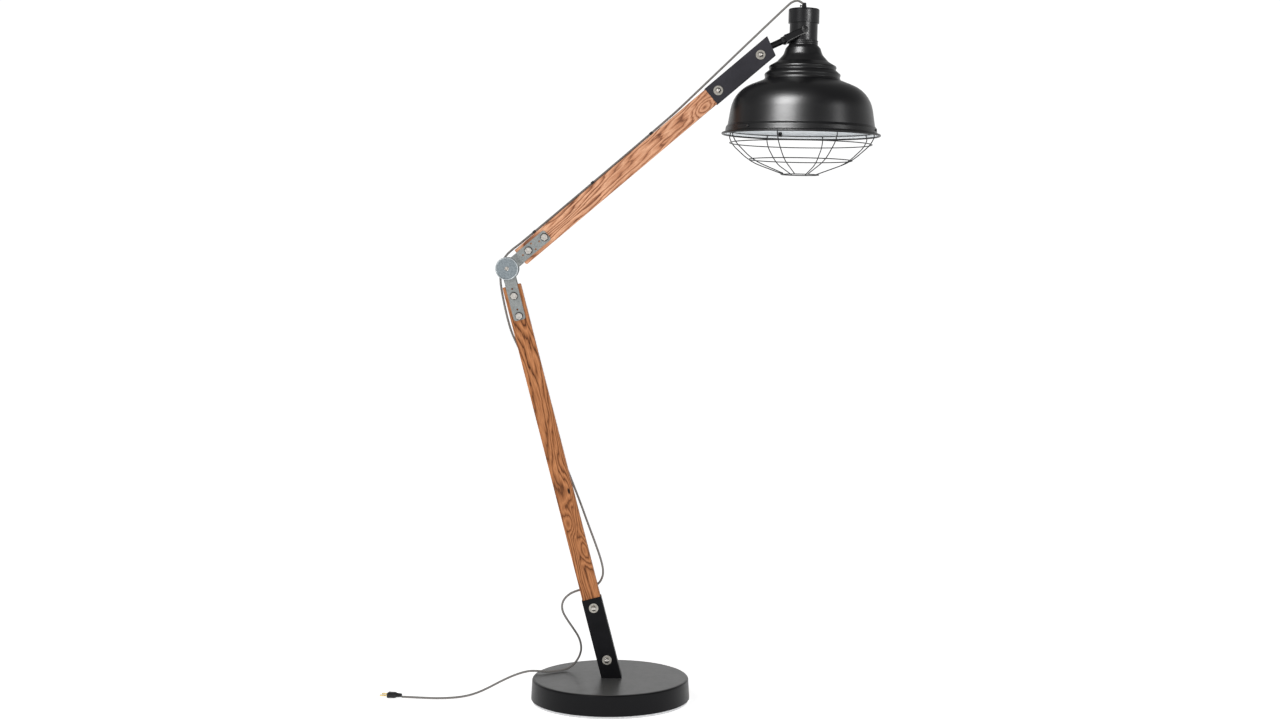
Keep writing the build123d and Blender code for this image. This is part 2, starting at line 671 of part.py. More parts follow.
def make_lampholder():
    """The lampholder hung on its nipple from the partition, and the lamp screwed into it."""
    top = PARTITION - HOLDER_DROP
    bottom = top - HOLDER_LENGTH
    cap_top = bottom + BULB_CAP_LENGTH
    holder = rod_z(HOLDER_RADIUS, bottom, top)
    holder = fillet(holder.edges().sort_by(Axis.Z)[-1], HOLDER_DROP)
    holder -= rod_z(BULB_CAP_RADIUS, bottom, cap_top)
    holder += rod_z(NIPPLE_RADIUS, top, PARTITION + NECK_WALL + HOLDER_DROP)
    place("lampholder", RIM, holder)

    glass_top = bottom - BULB_CAP_SHOWS
    place("bulb_cap", RIM, rod_z(BULB_CAP_RADIUS, glass_top, cap_top))
    tip = glass_top - BULB_LENGTH
    widest = tip + BULB_RADIUS
    waist = (BULB_RADIUS * 0.7, (widest + glass_top) / 2)
    lower = RadiusArc((0, tip), (BULB_RADIUS, widest), -BULB_RADIUS)
    side = Spline(
        (BULB_RADIUS, widest), waist, (BULB_CAP_RADIUS, glass_top), tangents=[(0, 1), (-0.1, 1)]
    )
    closing = Polyline((BULB_CAP_RADIUS, glass_top), (0, glass_top), (0, tip))
    bulb = revolve(Plane.XZ * make_face([lower, side, closing]), axis=Axis.Z)
    place("bulb_glass", RIM, bulb)


# ---------------------------------------------------------------- wire guard
RIB_POINTS = [(184.3, 9.0), (188.2, -4.0), (179.1, -23.1), (130.7, -65.2), (46.5, -94.9)]
RIB_RADII = [12.0, 60.0, 150.0]
UPPER_RING = (176.4, -20.8)
LOWER_RING = (128.2, -60.9)
BOTTOM_RING = (47.0, -97.0)


def rib():
    """One bent guard wire, in the plane of +X and +Z."""
    path = FilletPolyline(*[(r, 0, z) for r, z in RIB_POINTS], radius=RIB_RADII)
    start = Plane(origin=path @ 0, z_dir=path % 0)
    return sweep(start * Circle(WIRE_RADIUS), path=path)


def wire_ring(radius, height):
    """A closed ring of guard wire."""
    return Pos(0, 0, height) * Torus(radius, WIRE_RADIUS)


def make_guard():
    """Eight ribs welded to four rings, clipped inside the rim by three screws."""
    ribs = []
    for index in range(RIB_COUNT):
        turn = RIB_ANGLE - 90 + index * 360 / RIB_COUNT
        ribs.append(Rot(0, 0, turn) * rib())
    place("guard_ribs", RIM, group(ribs))
    place("guard_rim_ring", RIM, wire_ring(*RIM_RING))
    place("guard_upper_ring", RIM, wire_ring(*UPPER_RING))
    place("guard_lower_ring", RIM, wire_ring(*LOWER_RING))
    place("guard_bottom_ring", RIM, wire_ring(*BOTTOM_RING))

    clips = []
    screws = []
    radius, height = RIM_RING
    half = CLIP_WIDTH / 2
    loop = Pos(0, -radius, height) * Rot(0, 90, 0) * Cylinder(WIRE_RADIUS + CLIP_WALL, CLIP_WIDTH)
    outside = -radius - CLIP_STEP
    strap = box_between((-half, outside, height + 1), (half, outside + CLIP_WALL, CLIP_TOP))
    clip = loop + strap - wire_ring(*RIM_RING)
    clip -= rod_y(CLIP_SCREW_RADIUS, -radius - half, -radius + half, 0, CLIP_SCREW_HEIGHT)
    head_radius, head_height = CLIP_SCREW_HEAD
    seat = -CLIP_SCREW_SEAT
    screw = rod_y(CLIP_SCREW_RADIUS, seat - 1, -radius + CLIP_WIDTH, 0, CLIP_SCREW_HEIGHT)
    screw += dome_y(head_radius, head_height, seat, -1, CLIP_SCREW_HEIGHT)
    for turn in clip_turns():
        clips.append(turn * clip)
        screws.append(turn * screw)
    place("guard_clips", RIM, group(clips))
    place("guard_clip_screws", RIM, group(screws))


# ---------------------------------------------------------------- lead
def beside_arm(distance, height, depth=0.0):
    """A point at a distance along the arm from the elbow, and a height above the arm's axis."""
    return tuple(ARM.from_local_coords(Vector(-height, depth, distance)))


def beside_post(distance, left, depth):
    """A point at a distance down the post from the elbow, and a step to the left of the post's axis."""
    return tuple(POST_DOWN.from_local_coords(Vector(left, depth, distance)))


def halfway(first, second):
    """The middle of a straight run, where one length of lead hands over to the next."""
    return tuple((a + b) / 2 for a, b in zip(first, second))


GRIP_EXIT = [(484.0, 0, 1739.0), (472.0, 0, 1751.5), (455.0, 0, 1751.0), (438.0, 0, 1738.0)]
LEAVES_ARM = beside_arm(628.0, 30.8)
ON_ARM = beside_arm(545.0, LEAD_HEIGHT)
OFF_ARM = beside_arm(72.0, LEAD_HEIGHT)
AT_BEAM_END = beside_arm(41.0, 28.8)
ABOVE_SLEEVE = halfway(GRIP_EXIT[-1], LEAVES_ARM)
TO_ARM = halfway(LEAVES_ARM, ON_ARM)
FROM_ARM = halfway(OFF_ARM, AT_BEAM_END)

ROUND_ELBOW = [
    (-262.5, 0, 1119.0),
    (-272.0, 0, 1094.0),
    (-273.5, 0, 1067.0),
    (-271.5, 0, 1042.0),
]
DOWN_POST = [
    beside_post(78.0, 29.5, 0),
    beside_post(116.0, 31.0, 3),
    beside_post(156.0, 31.0, 12),
    beside_post(194.0, 24.5, 21.5),
    beside_post(240.0, 15.0, 22.0),
    beside_post(310.0, 7.5, 19.2),
    beside_post(375.0, 0.5, 18.2),
    beside_post(440.0, -8.0, 19.0),
    beside_post(500.0, -16.5, 22.0),
]
CROSSING = [(-51.0, 18.3, 282.0), (-79.0, 18.3, 277.5)]
DROOP = [
    (-97.0, 23, 555.0),
    (-77.0, 22, 504.0),
    (-57.0, 21, 448.0),
    (-37.0, 21, 394.0),
    (-22.0, 21, 350.0),
    (-16.5, 21, 318.0),
    (-27.0, 22, 293.0),
    *CROSSING,
    (-104.0, 20, 267.0),
    (-121.0, 20, 249.0),
    (-123.5, 22, 226.0),
    (-111.0, 27, 201.0),
    (-94.0, 34, 175.0),
    (-79.0, 43, 149.0),
    (-74.0, 54, 122.0),
    (-79.0, 66, 98.0),
    (-92.0, 72, 76.5),
    (-111.0, 68, 62.8),
    (-135.0, 51, 62.2),
    (-158.0, 38, 62.6),
    (-184.0, 35, 65.5),
    (-208.0, 41, 64.5),
    (-233.0, 50, 56.0),
    (-260.0, 57, 44.0),
    (-288.0, 60, 29.5),
    (-315.0, 56, 16.0),
    (-342.0, 42, 6.5),
    (-371.0, 22, 3.0),
    (-402.0, 7, 3.0),
    (-437.0, 2, 3.0),
    (-472.0, 7, 3.0),
    (-505.0, 14, 3.0),
    (-530.0, 18, 3.0),
]
TOP_SADDLE = DOWN_POST[6:8]
AT_POST = halfway(DOWN_POST[0], DOWN_POST[1])

LEAD = {
    "cord_head": GRIP_EXIT + [ABOVE_SLEEVE],
    "cord_bridge": [ABOVE_SLEEVE, LEAVES_ARM, TO_ARM],
    "cord_arm": [TO_ARM, ON_ARM, OFF_ARM, FROM_ARM],
    "cord_elbow": [FROM_ARM, AT_BEAM_END] + ROUND_ELBOW + [DOWN_POST[0], AT_POST],
    "cord_post": [AT_POST] + DOWN_POST[1:] + DROOP,
}


def corner_radii(points):
    """The largest arc that each corner of a route has room for."""
    radii = []
    for before, corner, after in zip(points, points[1:], points[2:]):
        first = Vector(*corner) - Vector(*before)
        second = Vector(*after) - Vector(*corner)
        half_turn = radians(first.get_angle(second)) / 2
        radii.append(0.45 * min(first.length, second.length) / tan(half_turn))
    return radii


def make_lead():
    """The lead in lengths: grip to yoke, yoke to arm, along it, round the elbow, and down to the floor."""
    for name, points in LEAD.items():
        radii = corner_radii(points)
        path = FilletPolyline(*points, radius=radii)
        start = Plane(origin=path @ 0, z_dir=path % 0)
        parts[name] = sweep(start * Circle(CORD_DIAMETER / 2), path=path)
        print(name, "length", round(path.length, 1), "radii", [round(r, 1) for r in radii])


def saddle(frame, standoff):
    """A small clip over the lead, which runs along local Z at a distance from the timber's face."""
    half = SADDLE_WIDTH / 2
    end = SADDLE_LENGTH / 2
    bore = CORD_DIAMETER / 2 + RUNNING_CLEARANCE
    top = bore + SADDLE_WALL
    block = box_between((-half, -standoff, -end), (half, SADDLE_WALL / 2 - standoff, end))
    block += box_between((-top, -standoff, -end), (top, 0, end)) + Cylinder(top, SADDLE_LENGTH)
    block &= box_between((-half, -standoff, -end), (half, top, end))
    return frame.location * (block - Cylinder(bore, SADDLE_LENGTH))


def make_clips():
    """Saddles on top of the arm and on the back of the post."""
    arm_clips = []
    for distance in ARM_SADDLES:
        frame = Plane(origin=beside_arm(distance, LEAD_HEIGHT), x_dir=(0, 1, 0), z_dir=ARM.z_dir)
        arm_clips.append(saddle(frame, LEAD_HEIGHT - BEAM_WIDTH / 2))
    parts["arm_cord_clips"] = group(arm_clips)
    post_clips = []
    away = Vector(0, 1, 0)
    for before, after in (TOP_SADDLE, CROSSING):
        at = halfway(before, after)
        heading = (Vector(*after) - Vector(*before)).normalized()
        frame = Plane(origin=at, x_dir=away.cross(heading), z_dir=heading)
        post_clips.append(saddle(frame, at[1] - BEAM_FACE - AXIAL_PLAY))
    parts["post_cord_clips"] = group(post_clips)


def make_plug():
    """A flat two-pin plug that lies on the floor at the end of the lead."""
    tail = Vector(*DROOP[-1])
    heading = (tail - Vector(*DROOP[-2])).normalized()
    frame = Plane(origin=tail, x_dir=Vector(-heading.Y, heading.X, 0), z_dir=heading)
    drop = tail.Z
    middle = PLUG_HEIGHT / 2 - drop
    tail_height = 2 * CORD_DIAMETER
    back = RectangleRounded(PLUG_WIDTH / 2, tail_height, CORD_DIAMETER * 0.7)
    front = RectangleRounded(PLUG_WIDTH, PLUG_HEIGHT, PLUG_HEIGHT * 0.4)
    body = loft([Pos(0, tail_height / 2 - drop, 0) * back, Pos(0, middle, PLUG_LENGTH) * front])
    place("plug_body", frame, body)
    pins = []
    for side in SIDES:
        pin = rod_z(PIN_RADIUS, PLUG_LENGTH, PLUG_LENGTH + PIN_LENGTH)
        pin = fillet(pin.edges().sort_by(Axis.Z)[-1], PIN_RADIUS * 0.6)
        pins.append(Pos(side * PIN_SPACING / 2, middle, 0) * pin)
    place("plug_pins", frame, group(pins))


make_base()
make_post()
make_arm()
make_elbow()
make_stem()
make_yoke()
make_shade()
make_neck()
make_pivot()
make_lampholder()
make_guard()
make_lead()
make_clips()
make_plug()

os.makedirs("parts", exist_ok=True)
for name, shape in parts.items():
    shape.label = name
    export_step(shape, "parts/" + name + ".step")
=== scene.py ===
"""Looks of the adjustable arm floor lamp: its lead, fittings, materials, light and camera, in metres."""

import json
import math

import bmesh
import bpy
from mathutils import Matrix, Vector


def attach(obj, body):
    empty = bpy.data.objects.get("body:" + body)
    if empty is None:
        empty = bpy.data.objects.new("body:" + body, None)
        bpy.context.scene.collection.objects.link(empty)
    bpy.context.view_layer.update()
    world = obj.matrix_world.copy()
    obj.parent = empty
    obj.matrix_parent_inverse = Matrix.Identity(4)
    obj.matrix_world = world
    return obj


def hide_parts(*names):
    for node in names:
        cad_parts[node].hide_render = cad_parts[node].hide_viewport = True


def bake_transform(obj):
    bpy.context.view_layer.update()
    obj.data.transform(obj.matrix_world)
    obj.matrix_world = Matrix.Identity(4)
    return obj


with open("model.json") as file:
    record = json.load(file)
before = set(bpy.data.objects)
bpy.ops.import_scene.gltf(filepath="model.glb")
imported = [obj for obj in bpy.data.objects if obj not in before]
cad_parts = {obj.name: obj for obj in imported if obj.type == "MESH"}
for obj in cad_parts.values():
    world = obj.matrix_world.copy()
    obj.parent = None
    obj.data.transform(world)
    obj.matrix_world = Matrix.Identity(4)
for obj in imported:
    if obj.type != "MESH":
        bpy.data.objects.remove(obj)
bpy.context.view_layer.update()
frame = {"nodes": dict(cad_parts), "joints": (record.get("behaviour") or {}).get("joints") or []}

# ---------------------------------------------------------------- dimensions, in metres and degrees
JOINTS = {joint["name"]: joint for joint in frame["joints"]}
ELBOW = Vector(JOINTS["elbow_hinge"]["pos_m"])
PIVOT = Vector(JOINTS["shade_tilt"]["pos_m"])
POST_DOWN_ANGLE = 284.1
ARM_RISE = 40.0
HEAD_TILT = 1.2
PIVOT_ABOVE_RIM = 0.2565

HINGE_BOLTS = (0.070, 0.1216)
POST_SLEEVE_BOLTS = (1.015, 0.879)
ARM_SLEEVE_BOLTS = (0.684, 0.820)
LEAF_FACE = 0.018
SLEEVE_FACE = 0.017
HINGE_WASHER = 0.002
SLEEVE_WASHER = 0.0016
DISC_INNER = 0.0217
DISC_RADIUS = 0.0285
AXLE_RADIUS = 0.004

CORD_DIAMETER = 0.0055
NECK_RADIUS = 0.0346
CAP_TOP = 0.3115
SHADE_WALL = 0.0012
RIM_RADIUS = 0.1945
RIM_ROLL = 0.003
COLLAR_BEADS = (0.226, 0.2315)
COLLAR_BEAD_ROLL = 0.0011

CAMERA_PLACE = (0.0752, -4.620, 1.148)
CAMERA_DIP = 3.55
CAMERA_LENS_MM = 52.03
CAMERA_SENSOR_MM = 36.0


def tilted(origin, angle):
    """A frame in the XZ plane whose local Z points at the angle above +X, and whose local Y is global Y."""
    dx = math.cos(math.radians(angle))
    dz = math.sin(math.radians(angle))
    turn = Matrix(((dz, 0, dx), (0, 1, 0), (-dx, 0, dz)))
    return Matrix.Translation(origin) @ turn.to_4x4()


POST_DOWN = tilted(ELBOW, POST_DOWN_ANGLE)
ARM = tilted(ELBOW, ARM_RISE)
RIM = tilted(PIVOT, 90 - HEAD_TILT) @ Matrix.Translation((0, 0, -PIVOT_ABOVE_RIM))


# ---------------------------------------------------------------- camera
def make_camera():
    """A little above the elbow's height, straight on, and dipped a few degrees."""
    data = bpy.data.cameras.new("camera")
    data.sensor_width = CAMERA_SENSOR_MM
    data.lens = CAMERA_LENS_MM
    camera = bpy.data.objects.new("camera", data)
    camera.location = CAMERA_PLACE
    camera.rotation_euler = (math.radians(90 - CAMERA_DIP), 0, 0)
    bpy.context.scene.collection.objects.link(camera)
    bpy.context.scene.camera = camera


# ---------------------------------------------------------------- materials
class Surface:
    """A principled material and short calls that add and join its procedural nodes."""

    def __init__(self, name, **constants):
        self.material = bpy.data.materials.new(name)
        self.material.use_nodes = True
        self.tree = self.material.node_tree
        self.shader = self.tree.nodes["Principled BSDF"]
        for socket, value in constants.items():
            self.shader.inputs[socket.replace("_", " ")].default_value = value
        self.coordinates = self.add("ShaderNodeTexCoord")
        self.place = self.coordinates.outputs["Object"]

    def add(self, kind, values=None, **settings):
        """A node with its settings, each named or numbered input fed by a socket or a value."""
        node = self.tree.nodes.new(kind)
        for name, value in settings.items():
            setattr(node, name, value)
        for name, value in (values or {}).items():
            self.feed(node.inputs[name], value)
        return node

    def feed(self, socket, value):
        """A socket joined to another, or set to a value."""
        if isinstance(value, bpy.types.NodeSocket):
            self.tree.links.new(value, socket)
        else:
            socket.default_value = value

    def set(self, name, value):
        """An input of the shader."""
        self.feed(self.shader.inputs[name], value)

    def noise(self, scale, detail=3.0, place=None, distortion=0.0):
        """Cloudy noise, from 0 to 1."""
        values = {"Vector": place or self.place, "Scale": scale, "Detail": detail, "Distortion": distortion}
        return self.add("ShaderNodeTexNoise", values).outputs["Fac"]

    def cells(self, scale):
        """Voronoi cells, each of its own colour."""
        values = {"Vector": self.place, "Scale": scale}
        return self.add("ShaderNodeTexVoronoi", values).outputs["Color"]

    def math(self, operation, first, second=0.0):
        """One sum on two values."""
        return self.add("ShaderNodeMath", {0: first, 1: second}, operation=operation).outputs[0]

    def range(self, value, low, high, to_low=0.0, to_high=1.0):
        """A value's range stretched onto another, with soft ends."""
        values = {"Value": value, "From Min": low, "From Max": high, "To Min": to_low, "To Max": to_high}
        return self.add("ShaderNodeMapRange", values, interpolation_type="SMOOTHSTEP").outputs[0]

    def colours(self, factor, *stops):
        """A colour ramp through (position, colour) stops."""
        node = self.add("ShaderNodeValToRGB", {"Fac": factor})
        ramp = node.color_ramp
        ramp.elements[0].position = stops[0][0]
        ramp.elements[1].position = stops[-1][0]
        for position, _ in stops[1:-1]:
            ramp.elements.new(position)
        for element, (_, colour) in zip(ramp.elements, stops):
            element.color = (*colour, 1)
        return node.outputs["Color"]

    def mix(self, factor, first, second, blend="MIX"):
        """Two colours mixed."""
        node = self.add("ShaderNodeMix", {0: factor}, data_type="RGBA", blend_type=blend)
        for socket, value in ((node.inputs[6], first), (node.inputs[7], second)):
            self.feed(socket, value if isinstance(value, bpy.types.NodeSocket) else (*value, 1))
        return node.outputs[2]

    def local(self, matrix, scale=(1, 1, 1), place=None):
        """Coordinates in another frame, then scaled."""
        values = {
            "Vector": place or self.place,
            "Location": matrix.to_translation(),
            "Rotation": matrix.to_euler(),
        }
        inside = self.add("ShaderNodeMapping", values, vector_type="TEXTURE").outputs[0]
        return self.add("ShaderNodeMapping", {"Vector": inside, "Scale": scale}).outputs[0]

    def bump(self, height, strength, distance):
        """Relief in the shader's normal, over any relief that it has already."""
        values = {"Height": height, "Strength": strength, "Distance": distance}
        links = self.shader.inputs["Normal"].links
        if links:
            values["Normal"] = links[0].from_socket
        self.set("Normal", self.add("ShaderNodeBump", values).outputs[0])


def paint(name, colour, roughness, grain, specular=0.35):
    """Powder coat: a fine orange peel, uneven sheen and a little dust."""
    s = Surface(name, Specular_IOR_Level=specular)
    dust = s.noise(14, 5)
    lighter = tuple(c * 1.7 + 0.003 for c in colour)
    s.set("Base Color", s.colours(dust, (0.35, colour), (0.75, lighter)))
    s.set("Roughness", s.range(s.noise(60, 4), 0.3, 0.7, roughness - 0.04, roughness + 0.05))
    s.bump(s.noise(grain, 2), 0.25, 0.0004)
    return s.material


def base_paint():
    """Textured black on the base, lighter where it lies level: a painted sheen on the top, a little blotchy.
    """
    s = Surface("base_black")
    level = s.add("ShaderNodeSeparateXYZ", {0: s.coordinates.outputs["Normal"]}).outputs["Z"]
    # painted sheen: grey mixed into the colour where the base faces up, so that its top reads lighter
    top_sheen = s.math("MULTIPLY", s.range(level, 0.7, 0.98), s.range(s.noise(14, 5), 0.3, 0.7, 0.94, 1.0))
    s.set("Base Color", s.mix(top_sheen, (0.004, 0.004, 0.005), (0.075, 0.075, 0.074)))
    s.set("Specular IOR Level", s.range(level, 0.7, 0.98, 0.14, 0.6))
    s.set("Roughness", s.range(s.noise(60, 4), 0.3, 0.7, 0.345, 0.375))
    s.bump(s.noise(1200, 2), 0.25, 0.0004)
    return s.material


def shade_paint():
    """Satin black on a spun sheet: faint turning marks round the axis, and soft waves in the gloss."""
    s = Surface("shade_black", Specular_IOR_Level=0.22)
    turned = s.local(RIM, (1, 1, 40))
    stops = ((0.3, (0.0015, 0.0015, 0.002)), (0.8, (0.004, 0.004, 0.005)))
    s.set("Base Color", s.colours(s.noise(9, 5), *stops))
    s.set("Roughness", s.range(s.noise(24, 3, turned), 0.3, 0.7, 0.32, 0.36))
    s.bump(s.noise(9, 2, turned), 0.02, 0.0006)
    s.bump(s.noise(1300, 1), 0.04, 0.0002)
    return s.material


def white_enamel():
    """Pale paint inside the shade."""
    s = Surface("shade_white", Specular_IOR_Level=0.4)
    s.set("Base Color", s.colours(s.noise(11, 4), (0.3, (0.74, 0.77, 0.79)), (0.8, (0.82, 0.85, 0.87))))
    s.set("Roughness", s.range(s.noise(40, 3), 0.3, 0.7, 0.38, 0.5))
    s.bump(s.noise(900, 2), 0.12, 0.0003)
    return s.material


def galvanised(name, dark, light, roughness):
    """Zinc plate: crystal spangle, cloudy oxide and short scratches."""
    s = Surface(name, Metallic=0.85)
    spangle = s.cells(420)
    clouds = s.noise(260, 5, distortion=0.6)
    plate = s.colours(clouds, (0.32, dark), (0.68, light))
    grey = s.add("ShaderNodeRGBToBW", {"Color": spangle}).outputs[0]
    s.set("Base Color", s.mix(0.14, plate, s.colours(grey, (0.1, dark), (0.9, light)), "OVERLAY"))
    scratches = s.noise(90, 2, s.local(Matrix.Rotation(0.9, 4, "Y"), (1, 1, 22)))
    marks = s.range(scratches, 0.62, 0.70)
    s.set("Roughness", s.math("SUBTRACT", s.range(clouds, 0.3, 0.7, roughness, roughness + 0.16), marks))
    s.bump(scratches, 0.12, 0.0003)
    s.bump(s.noise(1500, 2), 0.12, 0.0002)
    return s.material


def polished(name, colour, roughness):
    """Plated or bare metal with fine handling marks and a darker bloom in places."""
    s = Surface(name, Metallic=1.0)
    bloom = s.noise(260, 4, distortion=0.5)
    darker = tuple(c * 0.72 for c in colour)
    s.set("Base Color", s.colours(bloom, (0.34, darker), (0.6, colour)))
    s.set("Roughness", s.range(s.noise(500, 3), 0.3, 0.7, roughness, roughness + 0.12))
    s.bump(s.noise(1100, 2), 0.08, 0.0002)
    return s.material


def moulded(name, colour, roughness):
    """Moulded plastic, rubber or felt with a fine texture."""
    s = Surface(name, Specular_IOR_Level=0.35)
    lighter = tuple(min(1, c * 1.35 + 0.002) for c in colour)
    s.set("Base Color", s.colours(s.noise(160, 5), (0.3, colour), (0.75, lighter)))
    s.set("Roughness", s.range(s.noise(300, 3), 0.3, 0.7, roughness - 0.05, roughness + 0.08))
    s.bump(s.noise(1700, 3), 0.3, 0.0002)
    return s.material


RINGS_PER_METRE = 95
RING_DRIFT = 20
RING_WAVER = 4.2
KNOT_FOLDS = 3.2
FRONT_FACE = -0.015
KNOT_COLOUR = (0.02, 0.008, 0.004)


def wood(name, beam_frame, palette, start, knots):
    """Oiled timber: growth rings cut lengthwise that wander and fold round the knots, fibres and pores.
    A knot is (across, along, size, how dark its core is)."""
    dark, middle, light = palette
    s = Surface(name, Specular_IOR_Level=0.15)
    along = s.local(beam_frame)
    wander = beam_frame @ Matrix.Translation((0, 0, start))
    rings = s.math("MULTIPLY", s.add("ShaderNodeSeparateXYZ", {0: along}).outputs["X"], RINGS_PER_METRE)
    slow = s.noise(10, 1, s.local(wander, (1, 1, 0.16)))
    quick = s.noise(52, 3, s.local(wander, (1, 1, 0.14)))
    rings = s.math("ADD", rings, s.math("MULTIPLY", slow, RING_DRIFT))
    rings = s.math("ADD", rings, s.math("MULTIPLY", quick, RING_WAVER))
    cores = 0.0
    for across, distance, size, core in knots:
        near = s.local(Matrix.Translation((across, FRONT_FACE, distance)), (1, 0.3, 0.42), along)
        away = s.add("ShaderNodeVectorMath", {0: near}, operation="LENGTH").outputs["Value"]
        rings = s.math("ADD", rings, s.range(away, 0.0, size, KNOT_FOLDS, 0.0))
        cores = s.math("MAXIMUM", cores, s.range(away, size * 0.05, size * 0.12, core, 0.0))
    ring = s.math("FRACT", rings)
    stops = ((0.0, middle), (0.30, light), (0.68, middle), (0.90, dark), (1.0, middle))
    fibres = s.noise(1000, 3, s.local(beam_frame, (1, 1, 0.025)))
    pores = s.range(s.noise(1500, 2, s.local(beam_frame, (1, 1, 0.03))), 0.60, 0.70)
    clouds = s.noise(18, 4, s.local(beam_frame, (1, 1, 0.3)))
    timber = s.mix(s.range(fibres, 0.38, 0.66, 0.0, 0.34), s.colours(ring, *stops), dark)
    tinted = s.mix(s.range(clouds, 0.35, 0.65, 0.0, 0.3), timber, middle)
    worn = s.mix(s.math("MULTIPLY", pores, 0.35), tinted, dark)
    s.set("Base Color", s.mix(cores, worn, KNOT_COLOUR))
    s.set("Roughness", s.range(ring, 0.0, 1.0, 0.46, 0.60))
    s.bump(fibres, 0.15, 0.0004)
    s.bump(pores, -0.3, 0.0003)
    return s.material


PLAIT_LENGTH = 0.0042
PLAITS_ROUND = 4


def textile():
    """Two-way braid round the lead, in its length and turn, with painted shade in the gaps between the
    plaits.
    """
    s = Surface("textile_braid", Specular_IOR_Level=0.2, Sheen_Weight=0.25, Sheen_Roughness=0.5)
    apart = s.add("ShaderNodeSeparateXYZ", {0: s.coordinates.outputs["UV"]})
    length = s.math("MULTIPLY", apart.outputs["X"], 2 * math.pi / PLAIT_LENGTH)
    turn = s.math("MULTIPLY", apart.outputs["Y"], 2 * math.pi * PLAITS_ROUND)
    leans = [s.math("SINE", s.math(way, length, turn)) for way in ("ADD", "SUBTRACT")]
    plait = s.math("MAXIMUM", *leans)
    threads = s.noise(2600, 2)
    # painted shade: the crests of the plaits lighter and the gaps between them darker
    plait_shading = s.math("ADD", s.range(plait, 0.1, 1.0, 0.1, 0.8), s.math("MULTIPLY", threads, 0.25))
    s.set("Base Color", s.colours(plait_shading, (0.15, (0.10, 0.095, 0.09)), (0.9, (0.33, 0.31, 0.295))))
    s.set("Roughness", s.range(threads, 0.3, 0.7, 0.75, 0.9))
    s.bump(plait, 0.6, 0.0005)
    s.bump(threads, 0.25, 0.0002)
    return s.material


def opal():
    """Opal glass of the lamp."""
    s = Surface("opal_glass", Specular_IOR_Level=0.5, Subsurface_Weight=0.4, Coat_Weight=0.5)
    s.shader.inputs["Subsurface Radius"].default_value = (0.01, 0.01, 0.009)
    s.set("Base Color", s.colours(s.noise(20, 3), (0.3, (0.86, 0.86, 0.83)), (0.8, (0.92, 0.92, 0.90))))
    s.set("Roughness", s.range(s.noise(90, 2), 0.3, 0.7, 0.12, 0.2))
    return s.material


def pale_floor():
    """A plain seamless white floor, lit a little from below."""
    s = Surface("studio_floor", Roughness=0.7, Specular_IOR_Level=0.1, Emission_Strength=0.68)
    s.shader.inputs["Emission Color"].default_value = (1, 1, 1, 1)
    s.set("Base Color", s.colours(s.noise(3, 3), (0.3, (0.88, 0.88, 0.88)), (0.8, (0.9, 0.9, 0.9))))
    return s.material


LOWER_PALETTE = ((0.055, 0.016, 0.006), (0.35, 0.130, 0.047), (0.62, 0.26, 0.105))
UPPER_PALETTE = ((0.11, 0.034, 0.017), (0.56, 0.250, 0.132), (0.88, 0.49, 0.30))
LOWER_KNOTS = ((-0.012, 0.577, 0.036, 1.0), (-0.018, 0.734, 0.026, 0.0), (0.004, 0.655, 0.020, 0.0))
UPPER_KNOTS = ((0.010, 0.632, 0.022, 0.3),)

# the two sleeves are the same black part: the arm's is a lighter grey copy, painted light, and the post's
# stays near black
ARM_SLEEVE_LIT_PAINT = paint("arm_sleeve_lit_black", (0.021, 0.020, 0.026), 0.42, 1500, 0.25)
POST_SLEEVE_PAINT = paint("post_sleeve_black", (0.002, 0.002, 0.003), 0.45, 1500, 0.12)
BASE_PAINT = base_paint()
NECK_PAINT = paint("neck_black", (0.002, 0.002, 0.003), 0.32, 1600, 0.24)
PLATE_PAINT = paint("plate_dark", (0.03, 0.03, 0.03), 0.55, 900)
WIRE_PAINT = paint("guard_black", (0.014, 0.014, 0.015), 0.4, 1800)
FASTENER_PAINT = paint("fastener_black", (0.010, 0.010, 0.011), 0.28, 1800, 0.5)
# near black on the hinge washers: real washers, painted dark as shade round the hinge bolt heads
SHADED_WASHER_PAINT = paint("washer_painted_shade", (0.02, 0.02, 0.022), 0.35, 1800, 0.5)
CAST_IRON = paint("cast_iron", (0.10, 0.10, 0.10), 0.75, 500)
SHADE_PAINT = shade_paint()
ENAMEL = white_enamel()
ZINC = galvanised("zinc_plate", (0.25, 0.262, 0.258), (0.36, 0.377, 0.372), 0.40)
ZINC_FACE = galvanised("zinc_disc", (0.20, 0.23, 0.25), (0.32, 0.36, 0.38), 0.30)
ZINC_RIM = polished("zinc_rolled_rim", (0.52, 0.56, 0.58), 0.24)
STEEL = polished("bright_steel", (0.60, 0.57, 0.53), 0.13)
WASHER_STEEL = polished("washer_steel", (0.42, 0.40, 0.36), 0.24)
# bright steel for the yoke's lower bevel: a painted highlight along that edge
EDGE_HIGHLIGHT_STEEL = polished("edge_highlight_steel", (0.88, 0.88, 0.87), 0.22)
BRASS = polished("brass", (0.72, 0.56, 0.26), 0.2)
BLACK_PLASTIC = moulded("black_plastic", (0.012, 0.012, 0.013), 0.4)
NYLON = moulded("nylon", (0.60, 0.60, 0.57), 0.45)
FELT = moulded("pad_felt", (0.62, 0.62, 0.63), 0.85)
TEXTILE = textile()
OPAL = opal()
LOWER_WOOD = wood("post_timber", POST_DOWN, LOWER_PALETTE, 0.40, LOWER_KNOTS)
UPPER_WOOD = wood("arm_timber", ARM, UPPER_PALETTE, 1.70, UPPER_KNOTS)


# ---------------------------------------------------------------- mesh helpers
def skin(bm, rings, slot=0):
    """Smooth faces between each ring of vertices and the next; a ring of one vertex closes to a point."""
    for below, above in zip(rings, rings[1:]):
        for index in range(max(len(below), len(above))):
            corners = [
                below[index % len(below)],
                below[(index + 1) % len(below)],
                above[(index + 1) % len(above)],
                above[index % len(above)],
            ]
            face = bm.faces.new(list(dict.fromkeys(corners)))
            face.smooth = True
            face.material_index = slot


